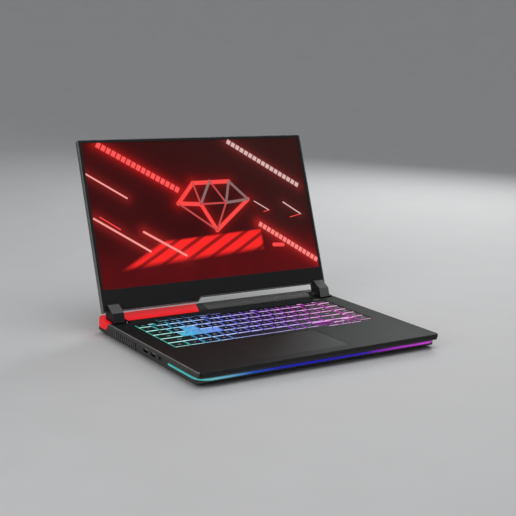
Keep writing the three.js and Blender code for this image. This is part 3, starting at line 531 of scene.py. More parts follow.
@dataclass(frozen=True)
class Finish:
    """What every finish has: a name and its own material."""

    name: str

    def material(self) -> bpy.types.Material:
        """The finish's material, built once.

        Returns:
            The finished material.
        """
        found = bpy.data.materials.get(self.name)
        if found:
            return found
        material = bpy.data.materials.new(self.name)
        material.use_nodes = True
        graph = Graph(material.node_tree)
        shader = graph.node("ShaderNodeBsdfPrincipled")
        leave = graph.node("ShaderNodeOutputMaterial")
        graph.put(leave.inputs["Surface"], shader.outputs[0])
        self.draw(graph, shader.inputs)
        return material

    def draw(self, graph: Graph, shader: Inputs) -> None:
        """Draws what goes into the shader.

        Args:
            graph: the material's graph.
            shader: the Principled shader's inputs.
        """
        raise NotImplementedError


@dataclass(frozen=True)
class Moulding(Finish):
    """Moulded or painted plastic with grain, smudges, rubbed edges and an optional painted glow."""

    colour: Colour = (0.02, 0.02, 0.02)
    deep: Colour | None = None
    rubbed: Colour = (0.10, 0.10, 0.10)
    roughness: float = 0.5
    grain_scale: float = 2600.0
    grain_depth: float = 0.03
    wear: float = 0.6
    smudge: float = 0.5
    metallic: float = 0.0
    specular: float = 0.3
    painted_glow: Colour | None = None
    painted_glow_strength: float = 0.0

    def draw(self, graph: Graph, shader: Inputs) -> None:
        """Draws what goes into the shader.

        Args:
            graph: the material's graph.
            shader: the Principled shader's inputs.
        """
        grain = Effect.GRAIN.place_in(graph, Scale=self.grain_scale)
        wear = Effect.WEAR.place_in(graph, Amount=self.wear)["Mask"]
        smudge = Effect.SMUDGE.place_in(graph, Amount=self.smudge)["Mask"]
        deep = self.deep or scaled(self.colour, 0.86)
        base = graph.mix(grain["Shade"], deep, scaled(self.colour, 1.1))
        graph.put(shader["Base Color"], graph.mix(wear, base, self.rubbed))
        rough = graph.math("ADD", self.roughness - 0.06, graph.math("MULTIPLY", grain["Shade"], 0.12))
        rough = graph.math("SUBTRACT", rough, graph.math("MULTIPLY", wear, 0.12))
        rough = graph.math("ADD", rough, graph.math("MULTIPLY", smudge, 0.16), clamp=True)
        graph.put(shader["Roughness"], rough)
        graph.put(shader["Normal"], graph.bump(grain["Height"], 0.5, self.grain_depth))
        shader["Metallic"].default_value = self.metallic
        shader["Specular IOR Level"].default_value = self.specular
        # The painted glow: emission on plastic that is no lamp, making it brighter than the lights alone
        # would.
        if self.painted_glow:
            graph.put(shader["Emission Color"], graph.mix(grain["Shade"], scaled(self.painted_glow, 0.7), self.painted_glow))
            shader["Emission Strength"].default_value = self.painted_glow_strength


@dataclass(frozen=True)
class BrushedMetal(Finish):
    """Brushed, plated or anodised metal with streaks along X."""

    colour: Colour = (0.4, 0.4, 0.4)
    roughness: float = 0.35
    fineness: float = 1500.0
    depth: float = 0.01
    wear: float = 0.5
    smudge: float = 0.12
    metallic: float = 1.0

    def draw(self, graph: Graph, shader: Inputs) -> None:
        """Draws what goes into the shader.

        Args:
            graph: the material's graph.
            shader: the Principled shader's inputs.
        """
        brush = Effect.BRUSH.place_in(graph, Fineness=self.fineness)
        wear = Effect.WEAR.place_in(graph, Amount=self.wear)["Mask"]
        smudge = Effect.SMUDGE.place_in(graph, Amount=self.smudge)["Mask"]
        base = graph.mix(brush["Shade"], scaled(self.colour, 0.8), scaled(self.colour, 1.15))
        graph.put(shader["Base Color"], graph.mix(wear, base, scaled(self.colour, 1.6, 0.05)))
        rough = graph.math("ADD", self.roughness - 0.07, graph.math("MULTIPLY", brush["Shade"], 0.14))
        rough = graph.math("ADD", rough, graph.math("MULTIPLY", smudge, 0.2), clamp=True)
        graph.put(shader["Roughness"], rough)
        graph.put(shader["Normal"], graph.bump(brush["Height"], 0.4, self.depth))
        shader["Metallic"].default_value = self.metallic


@dataclass(frozen=True)
class LitPlastic(Finish):
    """Translucent plastic lit from behind in the colours of the lighting."""

    light: Effect = Effect.KEY_LIGHT
    whiteness: float = 0.0
    strength: float = 2.0
    unevenness: float = 0.35
    roughness: float = 0.35

    def draw(self, graph: Graph, shader: Inputs) -> None:
        """Draws what goes into the shader.

        Args:
            graph: the material's graph.
            shader: the Principled shader's inputs.
        """
        lamps = self.light.place_in(graph, Whiteness=self.whiteness)["Colour"]
        cloud = graph.noise(graph.place(), 120.0, 3.0, 0.5)
        colour = graph.dimmed(lamps, graph.span(cloud, 0.3, 0.7, 1.0 - self.unevenness, 1.0))
        graph.put(shader["Base Color"], graph.mix(0.94, colour, (0.02, 0.02, 0.02)))
        graph.put(shader["Emission Color"], self.shaped(graph, colour))
        shader["Emission Strength"].default_value = self.strength
        shader["Specular IOR Level"].default_value = 0.08
        rough = graph.math("ADD", self.roughness - 0.05, graph.math("MULTIPLY", cloud, 0.1))
        graph.put(shader["Roughness"], rough)

    def shaped(self, graph: Graph, colour: Socket) -> Socket:
        """The light over the shape of the piece: the same all over, unless a finish says otherwise."""
        return colour


@dataclass(frozen=True)
class LitBar(LitPlastic):
    """The light guide: brightest along its middle line, whose height is given in millimetres."""

    middle: float = 9.95
    half: float = 1.75

    def shaped(self, graph: Graph, colour: Socket) -> Socket:
        """The light, dimmer towards the upper and lower edges.

        Args:
            graph: the material's graph.
            colour: the light's full colour.

        Returns:
            The light's colour.
        """
        height = graph.split(graph.place())["Z"]
        away = graph.math("ABSOLUTE", graph.math("SUBTRACT", height, self.middle * MM))
        return graph.dimmed(colour, graph.span(away, self.half * MM, 0.25 * self.half * MM, 0.3, 1.0))


@dataclass(frozen=True)
class KeyPlastic(Moulding):
    """Keycap plastic with a faint painted glow in the colours of the light under it."""

    painted_top_glow: float = 0.022

    def draw(self, graph: Graph, shader: Inputs) -> None:
        """Draws what goes into the shader.

        Args:
            graph: the material's graph.
            shader: the Principled shader's inputs.
        """
        super().draw(graph, shader)
        # A faint painted glow on the cap tops, in the colours of the key light.
        lamps = Effect.KEY_LIGHT.place_in(graph, Whiteness=0.0)["Colour"]
        patch = graph.span(graph.noise(graph.place(), 300.0, 2.0, 0.5), 0.3, 0.7, 0.5, 1.0)
        graph.put(shader["Emission Color"], graph.dimmed(lamps, patch))
        shader["Emission Strength"].default_value = self.painted_top_glow


@dataclass(frozen=True)
class NeonBar:
    """One bar of light in the wallpaper, in screen heights from the middle of the screen."""

    start: Point2
    end: Point2
    half_width: float
    colour: Colour
    haze: float = 0.1
    blocks: float = 0.0


@dataclass(frozen=True)
class Wallpaper(Finish):
    """The lit picture on the screen: bars of light over a dark red hall with a glowing floor."""

    strength: float = 1.0
    bars: tuple[NeonBar, ...] = ()
    shadow: Colour = (0.034, 0.0030, 0.0036)
    haze: Colour = (0.030, 0.012, 0.011)
    floor: Colour = (0.105, 0.004, 0.006)
    floor_glow: Colour = (0.95, 0.022, 0.020)
    haze_tint: Colour = (0.9, 0.12, 0.12)

    def hall(self, graph: Graph, across: Socket, up: Socket) -> Socket:
        """The background: dim walls, a smoky corner and a lighter floor.

        Args:
            graph: the material's graph.
            across: screen heights right of the middle.
            up: screen heights above the middle.

        Returns:
            The background colour.
        """
        smoke = graph.noise(self.screen_point(graph), 2.2, 5.0, 0.6)
        corner = graph.span(graph.math("ADD", across, up), -0.3, 1.1)
        wall = graph.mix(graph.math("MULTIPLY", corner, smoke), self.shadow, self.haze)
        low = graph.span(up, -0.12, -0.42)
        lit = graph.math("MULTIPLY", low, graph.span(smoke, 0.2, 0.8, 0.5, 1.0))
        return graph.mix(lit, wall, self.floor)

    def glowing_floor(self, graph: Graph, across: Socket, up: Socket) -> Socket:
        """The mask of the lit patch on the floor, striped with slanting shadows.

        Args:
            graph: the material's graph.
            across: screen heights right of the middle.
            up: screen heights above the middle.

        Returns:
            The mask, 0 to 1.
        """
        top = graph.span(graph.math("SUBTRACT", up, graph.math("MULTIPLY", across, 0.04)), -0.185, -0.205)
        bottom = graph.span(graph.math("SUBTRACT", up, graph.math("MULTIPLY", across, 0.05)), -0.36, -0.31)
        left = graph.span(graph.math("SUBTRACT", across, graph.math("MULTIPLY", up, 1.9)), -0.02, 0.05)
        right = graph.span(across, 0.44, 0.41)
        slant = graph.math("SUBTRACT", graph.math("MULTIPLY", across, 36.0), graph.math("MULTIPLY", up, 70.0))
        stripe = graph.span(graph.math("SINE", slant), -0.9, -0.2, 0.25, 1.0)
        tall, wide = graph.math("MULTIPLY", top, bottom), graph.math("MULTIPLY", left, right)
        return graph.math("MULTIPLY", graph.math("MULTIPLY", tall, wide), stripe)

    def screen_point(self, graph: Graph) -> Socket:
        """A point on the screen.

        Args:
            graph: the material's graph.

        Returns:
            Its place in screen heights from the middle of the screen.
        """
        chart = graph.node("ShaderNodeUVMap", uv_map=SCREEN_CHART).outputs[0]
        inputs = {"Vector": chart, "Location": (-0.889, -0.5, 0.0), "Scale": (1.7779, 1.0, 1.0)}
        return graph.node("ShaderNodeMapping", inputs).outputs[0]

    def draw(self, graph: Graph, shader: Inputs) -> None:
        """Draws what goes into the shader.

        Args:
            graph: the material's graph.
            shader: the Principled shader's inputs.
        """
        point = self.screen_point(graph)
        parts = graph.split(point)
        across, up = parts["X"], parts["Y"]
        picture = self.hall(graph, across, up)
        picture = graph.mix(self.glowing_floor(graph, across, up), picture, self.floor_glow)
        for bar in self.bars:
            ends = {"Start": (*bar.start, 0.0), "End": (*bar.end, 0.0)}
            sizes = {"Half_Width": bar.half_width, "Blocks": bar.blocks}
            lamp = Effect.NEON_BAR.place_in(graph, Point=point, **ends, **sizes)
            halo = graph.math("MULTIPLY", lamp["Haze"], bar.haze)
            tint = tuple(part * share for part, share in zip(bar.colour, self.haze_tint))
            picture = graph.mix(halo, picture, tint)
            picture = graph.mix(lamp["Core"], picture, bar.colour)
        graph.put(shader["Emission Color"], picture)
        shader["Emission Strength"].default_value = self.strength
        graph.put(shader["Base Color"], graph.mix(0.98, picture, (0.002, 0.002, 0.002)))
        shader["Specular IOR Level"].default_value = 0.05
        sparkle = graph.noise(graph.place(), 3000.0, 2.0, 0.5)
        graph.put(shader["Roughness"], graph.math("ADD", 0.33, graph.math("MULTIPLY", sparkle, 0.1)))


RED_LIGHT: Colour = (1.0, 0.07, 0.065)
PINK_LIGHT: Colour = (1.0, 0.36, 0.34)
PALE_LIGHT: Colour = (0.72, 0.46, 0.44)
STEEL_LIGHT: Colour = (0.26, 0.15, 0.145)
DIM_LIGHT: Colour = (0.55, 0.07, 0.07)


def crystal_bars() -> tuple[NeonBar, ...]:
    """The plain cut crystal in the middle of the wallpaper, drawn in bars of light.

    Returns:
        Its bars.
    """
    left, top, right = (-0.08, 0.19), (0.06, 0.20), (0.22, 0.19)
    west, inner_west, inner_east, east = (-0.22, 0.05), (-0.04, 0.035), (0.17, 0.035), (0.36, 0.05)
    tip = (0.06, -0.16)
    red = [(west, left), (left, right), (east, tip), (inner_west, tip), (west, inner_west)]
    grey = [(right, east), (inner_west, top), (inner_east, right), (inner_east, east)]
    dim = [(west, tip), (inner_east, tip), (top, inner_east), (left, inner_west), (inner_west, inner_east)]
    bars = [NeonBar(a, b, 0.015, RED_LIGHT, 0.12) for a, b in red]
    bars += [NeonBar(a, b, 0.010, STEEL_LIGHT, 0.0) for a, b in grey]
    bars += [NeonBar(a, b, 0.007, DIM_LIGHT, 0.0) for a, b in dim]
    return tuple(bars)


WALL_BARS = (
    NeonBar((-0.781, 0.494), (-0.197, 0.140), 0.021, (1.0, 0.10, 0.095), 0.34, 17.0),
    NeonBar((-0.889, 0.291), (-0.610, 0.109), 0.006, PINK_LIGHT, 0.12),
    NeonBar((-0.875, -0.017), (-0.493, -0.269), 0.007, PINK_LIGHT, 0.15),
    NeonBar((-0.831, -0.009), (-0.694, -0.103), 0.004, RED_LIGHT, 0.05),
    NeonBar((-0.522, -0.132), (-0.221, -0.320), 0.008, (1.0, 0.30, 0.28), 0.2),
    NeonBar((0.257, 0.490), (0.829, 0.129), 0.017, PALE_LIGHT, 0.14, 17.0),
    NeonBar((0.411, 0.032), (0.527, -0.041), 0.004, PALE_LIGHT, 0.04),
    NeonBar((0.527, -0.041), (0.480, -0.050), 0.003, RED_LIGHT, 0.0),
    NeonBar((0.664, 0.011), (0.806, -0.087), 0.005, PALE_LIGHT, 0.05),
    NeonBar((0.806, -0.087), (0.705, -0.105), 0.003, RED_LIGHT, 0.0),
    NeonBar((0.418, -0.133), (0.889, -0.447), 0.018, (1.0, 0.24, 0.22), 0.30, 15.0),
    NeonBar((0.520, -0.300), (0.600, -0.306), 0.014, RED_LIGHT, 0.06),
)


class Finishes:
    """Every finish on the object."""

    deck = Moulding(
        "deck_charcoal", (0.0135, 0.0165, 0.0165), deep=(0.0125, 0.0155, 0.0155),
        rubbed=(0.06, 0.06, 0.06), roughness=0.47, grain_depth=0.015, smudge=0.03, specular=0.045,
    )
    # The front wall in a lighter copy of the deck plastic: painted light that keeps it as bright as the
    # deck's top.
    front = Moulding(
        "front_wall_painted_light", (0.024, 0.024, 0.024), rubbed=(0.06, 0.06, 0.06), roughness=0.45,
        grain_depth=0.015, smudge=0.05, specular=0.15,
    )
    # The side walls in a lighter, warmer copy of the top case plastic: painted light, the sides brighter than
    # the front.
    band = Moulding(
        "side_band_painted_light", (0.066, 0.061, 0.059), rubbed=(0.22, 0.20, 0.20), roughness=0.42,
        grain_depth=0.02, smudge=0.2, specular=0.1,
    )
    # A lighter, glossier copy of the plastic for the outer top chamfer of the side walls: a painted
    # highlight.
    edge = Moulding(
        "deck_edge_painted_highlight", (0.25, 0.24, 0.24), rubbed=(0.45, 0.45, 0.45), roughness=0.28, grain_depth=0.005,
        metallic=0.4, smudge=0.2,
    )
    tray = Moulding(
        "tray_dark", (0.042, 0.039, 0.038), rubbed=(0.09, 0.09, 0.09), roughness=0.55, grain_depth=0.05,
        grain_scale=1600, smudge=0.2,
    )
    pad = Moulding(
        "pad_satin", (0.0150, 0.0180, 0.0180), deep=(0.0140, 0.0170, 0.0170), rubbed=(0.04, 0.04, 0.04),
        roughness=0.40, grain_depth=0.006, smudge=0.03, specular=0.055,
    )
    bezel = Moulding(
        "bezel_matte", (0.021, 0.021, 0.0215), rubbed=(0.04, 0.04, 0.04), roughness=0.5, grain_depth=0.02,
        smudge=0.1, specular=0.15,
    )
    # The red trim glows a little: a painted glow, since the trim is no lamp.
    red = Moulding(
        "accent_red", (0.78, 0.006, 0.012), rubbed=(0.9, 0.10, 0.10), roughness=0.4, grain_depth=0.01,
        smudge=0.15, specular=0.2, painted_glow=(1.0, 0.012, 0.020), painted_glow_strength=0.42,
    )
    ribs = Moulding(
        "rib_grey", (0.17, 0.17, 0.17), rubbed=(0.33, 0.33, 0.33), roughness=0.45, grain_depth=0.02,
        smudge=0.2, specular=0.12,
    )
    # The grille strip's body, dark as painted shade in the grooves between the ribs.
    grooves_painted_shade = Moulding(
        "groove_painted_shade", (0.022, 0.022, 0.022), rubbed=(0.2, 0.2, 0.2), roughness=0.55, grain_depth=0.02,
        smudge=0.2, specular=0.12,
    )
    # The hinge plastic, followed by lit and shaded copies of it for the arms' faces: painted light and shade.
    hinge = Moulding(
        "hinge_satin", (0.098, 0.101, 0.101), rubbed=(0.35, 0.35, 0.35), roughness=0.4, grain_depth=0.01,
        metallic=0.2, smudge=0.2,
    )
    hinge_front_painted_light = Moulding(
        "hinge_front_painted_light", (0.15, 0.154, 0.152), rubbed=(0.4, 0.4, 0.4), roughness=0.4, grain_depth=0.01,
        metallic=0.2, smudge=0.2,
    )
    hinge_plate_painted_shade = Moulding(
        "hinge_plate_painted_shade", (0.045, 0.046, 0.046), rubbed=(0.25, 0.25, 0.25), roughness=0.4, grain_depth=0.01,
        smudge=0.2, specular=0.3,
    )
    hinge_front_painted_shade = Moulding(
        "hinge_front_painted_shade", (0.022, 0.0225, 0.023), rubbed=(0.12, 0.12, 0.12), roughness=0.42, grain_depth=0.02,
        specular=0.2,
    )
    hinge_sides_painted_shade = Moulding(
        "hinge_side_painted_shade", (0.012, 0.0125, 0.013), rubbed=(0.06, 0.06, 0.06), roughness=0.45, grain_depth=0.02,
        specular=0.2,
    )
    keycap = KeyPlastic(
        "keycap_black", (0.0045, 0.0055, 0.0075), rubbed=(0.015, 0.015, 0.02), roughness=0.5,
        grain_depth=0.03, grain_scale=3500, specular=0.08, smudge=0.1,
    )
    ink = Moulding(
        "dark_ink", (0.01, 0.02, 0.03), rubbed=(0.02, 0.02, 0.03), roughness=0.5, grain_depth=0.005,
        smudge=0.0,
    )
    rubber = Moulding(
        "foot_rubber", (0.010, 0.010, 0.010), rubbed=(0.03, 0.03, 0.03), roughness=0.85, grain_depth=0.06,
        grain_scale=1800,
    )
    board = Moulding(
        "solder_resist", (0.008, 0.045, 0.020), rubbed=(0.5, 0.4, 0.15), roughness=0.4, grain_depth=0.05,
        grain_scale=900,
    )
    black = Moulding(
        "plain_black", (0.010, 0.010, 0.010), rubbed=(0.04, 0.04, 0.04), roughness=0.5, grain_depth=0.04,
    )
    lid = BrushedMetal("anodised_lid", (0.085, 0.085, 0.09), 0.38, metallic=0.85)
    rim = BrushedMetal("lid_rim", (0.15, 0.15, 0.148), 0.34, metallic=0.6)
    socket = BrushedMetal("socket_plate", (0.20, 0.20, 0.21), 0.35)
    steel = BrushedMetal("nickel_plate", (0.55, 0.55, 0.56), 0.28)
    copper = BrushedMetal("bare_copper", (0.72, 0.33, 0.18), 0.32)
    film = LitPlastic("lit_film", strength=0.22, unevenness=0.5)
    skirt = LitPlastic("lit_skirt", strength=0.6)
    lip = LitPlastic("lit_lip", whiteness=0.34, strength=1.4)
    legend = LitPlastic("lit_legend", whiteness=0.25, strength=1.0)
    bar = LitBar("lit_bar", Effect.BAR_LIGHT, strength=1.0, unevenness=0.12)
    game_cap = LitPlastic("lit_game_cap", whiteness=0.03, strength=0.85, unevenness=0.25)
    screen = Wallpaper("wallpaper", 1.0, (*crystal_bars(), *WALL_BARS))


# ---------------------------------------------------------------- mesh tools
def add_object(name: str, mesh: bpy.types.Mesh) -> bpy.types.Object:
    """Puts a mesh in the scene.

    Args:
        name: the object's name.
        mesh: its mesh.

    Returns:
        The object.
    """
    made = bpy.data.objects.new(name, mesh)
    bpy.context.scene.collection.objects.link(made)
    return made


def sharpen(bm: bmesh.types.BMesh, degrees: float = 32.0) -> None:
    """Smooths every face and keeps the edges sharper than an angle.

    Args:
        bm: the mesh.
        degrees: the angle.
    """
    for face in bm.faces:
        face.smooth = True
    for edge in bm.edges:
        edge.smooth = len(edge.link_faces) == 2 and edge.calc_face_angle(0.0) < math.radians(degrees)


def to_mesh(bm: bmesh.types.BMesh, name: str, finishes: Sequence[Finish]) -> bpy.types.Object:
    """Turns an edited mesh into an object and frees it.

    Args:
        bm: the mesh.
        name: the object's name.
        finishes: its materials in slot order.

    Returns:
        The object.
    """
    mesh = bpy.data.meshes.new(name)
    bm.to_mesh(mesh)
    bm.free()
    for finish in finishes:
        mesh.materials.append(finish.material())
    return add_object(name, mesh)


def node_mesh(node: str) -> bmesh.types.BMesh:
    """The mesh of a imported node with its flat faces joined.

    Args:
        node: the node's name.

    Returns:
        An editable copy.
    """
    bm = bmesh.new()
    bm.from_mesh(FRAME["nodes"][node].data)
    bmesh.ops.remove_doubles(bm, verts=bm.verts, dist=2e-6)
    bmesh.ops.dissolve_limit(bm, angle_limit=math.radians(1.0), verts=bm.verts, edges=bm.edges)
    return bm


def round_edges(
    bm: bmesh.types.BMesh,
    width: float,
    segments: int = 2,
    degrees: float = 28.0,
    only: Callable[[bmesh.types.BMEdge], bool] | None = None,
) -> None:
    """Rounds the sharp edges, and marks the rounded faces in the "edge" attribute.

    Args:
        bm: the mesh.
        width: how far the rounding reaches from an edge, in millimetres.
        segments: faces across the rounding.
        degrees: the least angle of a sharp edge.
        only: picks the edges, all when left out.
    """
    layers = bm.faces.layers.float
    layer = layers.get(EDGE_LAYER) or layers.new(EDGE_LAYER)
    sharp = [e for e in bm.edges if len(e.link_faces) == 2 and e.calc_face_angle(0.0) > math.radians(degrees)]
    sharp = [e for e in sharp if only is None or only(e)]
    made = bmesh.ops.bevel(
        bm,
        geom=sharp,
        offset=width * MM,
        offset_type="OFFSET",
        segments=segments,
        profile=0.5,
        affect="EDGES",
        clamp_overlap=True,
        miter_outer="SHARP",
    )
    for face in made["faces"]:
        face[layer] = 1.0


def finished(
    node: str,
    name: str,
    body: str,
    finishes: Sequence[Finish],
    width: float = 0.4,
    segments: int = 2,
    choose: Callable[[bmesh.types.BMFace], int] | None = None,
    first: Callable[[bmesh.types.BMesh], None] | None = None,
) -> bpy.types.Object:
    """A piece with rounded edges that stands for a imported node.

    Args:
        node: the node it stands for.
        name: the piece's name.
        body: the body it moves with.
        finishes: its materials in slot order.
        width: the rounding, in millimetres.
        segments: faces across the rounding.
        choose: picks a slot for each face.
        first: work on the mesh before the rounding.

    Returns:
        The piece.
    """
    bm = node_mesh(node)
    bm.normal_update()
    if first:
        first(bm)
        bm.normal_update()
    round_edges(bm, width, segments)
    bm.normal_update()
    if choose:
        for face in bm.faces:
            face.material_index = choose(face)
    sharpen(bm)
    made = to_mesh(bm, name, finishes)
    soften = made.modifiers.new("even_shading", "WEIGHTED_NORMAL")
    soften.keep_sharp = True
    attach(made, body)
    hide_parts(node)
    LOG.info("%s: %d faces, for %s", name, len(made.data.polygons), node)
    return made


def dress(node: str, finish: Finish) -> None:
    """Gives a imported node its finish.

    Args:
        node: the node's name.
        finish: what it is made of.
    """
    mesh = FRAME["nodes"][node].data
    mesh.materials.clear()
    mesh.materials.append(finish.material())
    LOG.info("%s keeps its shape, in %s", node, finish.name)


def loose_piece(bm: bmesh.types.BMesh, name: str, body: str, finish: Finish) -> None:
    """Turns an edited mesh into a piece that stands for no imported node.

    Args:
        bm: the mesh.
        name: the piece's name.
        body: the body it moves with.
        finish: what it is made of.
    """
    made = to_mesh(bm, name, (finish,))
    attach(made, body)
    LOG.info("%s: %d faces", name, len(made.data.polygons))


def chassis_middle() -> float:
    """The middle of the chassis along Y, in metres, from which its own sizes are measured."""
    low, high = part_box("keyboard_deck")
    return (low.y + high.y) / 2


def add_prism(bm: bmesh.types.BMesh, outline: Sequence[Vector], rise: Vector) -> list[bmesh.types.BMFace]:
    """Adds a closed prism.

    Args:
        bm: the mesh it goes into.
        outline: its foot, in metres.
        rise: from the foot to the top.

    Returns:
        Its faces.
    """
    foot = [bm.verts.new(p) for p in outline]
    top = [bm.verts.new(p + rise) for p in outline]
    count = len(outline)
    faces = [bm.faces.new(foot[::-1]), bm.faces.new(top)]
    for i in range(count):
        after = (i + 1) % count
        faces.append(bm.faces.new((foot[i], foot[after], top[after], top[i])))
    return faces


# ---------------------------------------------------------------- the chassis
@dataclass
class Chassis:
    """The top case, the tray, the trim at the rear, and the light bar."""

    rim_round: float = 0.9
    rim_reach: float = 1.6
    band_reach: float = 1.4
    front_reach: float = 0.5
    rib_pitch: float = 2.4
    rib_width: float = 0.9
    rib_height: float = 0.35
    rib_lean: float = 5.0
    rib_sink: float = 0.05
    rib_margin_left: float = 16.0
    rib_margin_right: float = 2.0
    rib_margin_front: float = 2.0
    rib_margin_rear: float = 3.0
    strip_front_height: float = 0.3
    vent_front: float = 20.0
    vent_rear: float = 77.0
    vent_count: int = 10
    vent_low: float = 13.4
    vent_top: float = 6.3
    vent_lean: float = 2.2
    vent_rib: float = 1.3
    vent_rib_stand: float = 0.4
    screw_radius: float = 2.5
    screw_height: float = 0.7
    screw_sink: float = 0.25
    screw_sides: int = 24
    cross_arm: float = 1.4
    cross_half: float = 0.3
    cross_depth: float = 0.4
    screw_columns: tuple[float, ...] = (-160.0, -80.0, 80.0, 160.0)
    screw_rows: tuple[float, ...] = (-90.0, 10.0)
    rear_screw_columns: tuple[float, ...] = (-135.0, 0.0, 135.0)
    rear_screw_row: float = 112.0

    def build(self) -> None:
        """Builds and dresses every piece of the chassis."""
        self.top_case()
        self.tray()
        self.trim()
        self.ribs()
        self.side_ribs()
        self.light_bar()
        self.feet_and_screws()
        self.inside()

    def top_case(self) -> None:
        """The charcoal top case, with its side band and front wall in painted light and a painted highlight
        on the outer edge.
        """
        low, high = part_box("keyboard_deck")

        def slot(face: bmesh.types.BMFace) -> int:
            """The deck, the band in painted light, the edge with its painted highlight, or the front in
            painted light, by where a face lies and how it faces.
            """
            centre = face.calc_center_median()
            if face.normal.z < -0.5:
                return 1
            if min(centre.x - low.x, high.x - centre.x) > self.band_reach * MM:
                return 3 if centre.y < low.y + self.front_reach * MM else 0
            return 2 if 0.15 < face.normal.z < 0.97 else 1 if face.normal.z < 0.5 else 0

        def on_rim(edge: bmesh.types.BMEdge) -> bool:
            """Whether an edge runs round the outside of the deck's top."""
            for vert in edge.verts:
                place = vert.co
                inwards = min(place.x - low.x, high.x - place.x, place.y - low.y, high.y - place.y)
                if inwards >= self.rim_reach * MM or place.z <= high.z - 0.2 * MM:
                    return False
            return True

        def rim(bm: bmesh.types.BMesh) -> None:
            """Rounds the outer edge of the deck further than the rest."""
            round_edges(bm, self.rim_round, 2, 28.0, on_rim)

        # The band and the front are lighter copies of the plastic and the edge a painted highlight, all
        # standing in for light.
        paints = (Finishes.deck, Finishes.band, Finishes.edge, Finishes.front)
        finished("keyboard_deck", "top_case", "chassis", paints, 0.3, 2, slot, rim)

    def tray(self) -> None:
        """The bottom tray."""
        finished("bottom_cover", "base_tray", "chassis", (Finishes.tray,), 0.35, 2)

    def trim(self) -> None:
        """The red strip and cap, and the grey strip and cap."""
        finished("accent_strip", "red_strip", "chassis", (Finishes.red,), 0.5, 3)
        finished("corner_cap_left", "red_cap", "chassis", (Finishes.red,), 1.1, 4)
        finished("corner_cap_right", "grey_cap", "chassis", (Finishes.tray,), 1.1, 4)
        # The strip's body is dark: painted shade between the ribs.
        finished("vent_strip", "grille_strip", "chassis", (Finishes.grooves_painted_shade,), 0.25, 2)

    def ribs(self) -> None:
        """Fine slanting ribs over the grey strip."""
        low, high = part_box("vent_strip")
        bm = bmesh.new()
        front, rear = low.y + self.rib_margin_front * MM, high.y - self.rib_margin_rear * MM
        depth = high.y - low.y
        slope = (high.z - low.z - self.strip_front_height * MM) / depth
        level = high.z - slope * depth

        def at(x: float, y: float) -> Vector:
            """A point on the strip's upper face."""
            return Vector((x, y, level + slope * (y - low.y) - self.rib_sink * MM))

        wide, lean = self.rib_width * MM, self.rib_lean * MM
        x = low.x + self.rib_margin_left * MM
        while x < high.x - lean - self.rib_margin_right * MM:
            outline = [at(x, front), at(x + wide, front), at(x + wide + lean, rear), at(x + lean, rear)]
            add_prism(bm, outline, Vector((0, 0, self.rib_height * MM)))
            x += self.rib_pitch * MM
        round_edges(bm, 0.12, 1)
        sharpen(bm)
        loose_piece(bm, "grille_ribs", "chassis", Finishes.ribs)

    def side_ribs(self) -> None:
        """Slanting ribs between the slots of the side walls, in the lighter rib grey: a painted highlight
        where the slot edges catch the light.
        """
        low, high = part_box("bottom_cover")
        middle = chassis_middle()
        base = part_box("keyboard_deck")[1].z - self.vent_low * MM
        rise = (self.vent_low - self.vent_top) * MM
        wide, lean = self.vent_rib * MM, self.vent_lean * MM
        pitch = (self.vent_rear - self.vent_front) / self.vent_count
        bm = bmesh.new()
        for wall, out in ((low.x, -1.0), (high.x, 1.0)):
            x = wall - out * self.rib_sink * MM
            for i in range(self.vent_count):
                y = (self.vent_front + (i + 0.75) * pitch - self.vent_rib / 2) * MM + middle
                foot = [Vector((x, y, base)), Vector((x, y + wide, base))]
                top = [Vector((x, y + wide + lean, base + rise)), Vector((x, y + lean, base + rise))]
                add_prism(bm, foot + top, Vector((out * (self.vent_rib_stand + self.rib_sink) * MM, 0, 0)))
        bmesh.ops.recalc_face_normals(bm, faces=bm.faces)
        round_edges(bm, 0.15, 2)
        sharpen(bm)
        loose_piece(bm, "side_vent_ribs", "chassis", Finishes.ribs)

    def light_bar(self) -> None:
        """The lit guide under the front edge."""
        finished("light_bar", "light_guide", "chassis", (Finishes.bar,), 0.4, 2)

    def feet_and_screws(self) -> None:
        """Rubber feet and the screws of the tray."""
        for node in ("rear_foot", "front_foot_left", "front_foot_right"):
            finished(node, node + "_pad", "chassis", (Finishes.rubber,), 0.5, 3)
        bm = bmesh.new()
        middle = chassis_middle()
        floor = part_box("bottom_cover")[0].z + self.screw_sink * MM
        places = [(x, y) for x in self.screw_columns for y in self.screw_rows]
        places += [(x, self.rear_screw_row) for x in self.rear_screw_columns]
        for x, y in places:
            self.screw(bm, Vector((x * MM, y * MM + middle, floor)))
        round_edges(bm, 0.15, 2)
        sharpen(bm)
        loose_piece(bm, "tray_screws", "chassis", Finishes.steel)

    def cross(self) -> list[Point2]:
        """The outline of a screw's cross recess, in metres, going round its four arms."""
        arm, half = self.cross_arm * MM, self.cross_half * MM
        points: list[Point2] = []
        for across, along in ((1, 1), (1, -1), (-1, -1), (-1, 1)):
            corner = (across * half, along * half)
            side = (across * arm, along * half)
            end = (across * half, along * arm)
            points += [end, corner, side] if across == along else [side, corner, end]
        return points

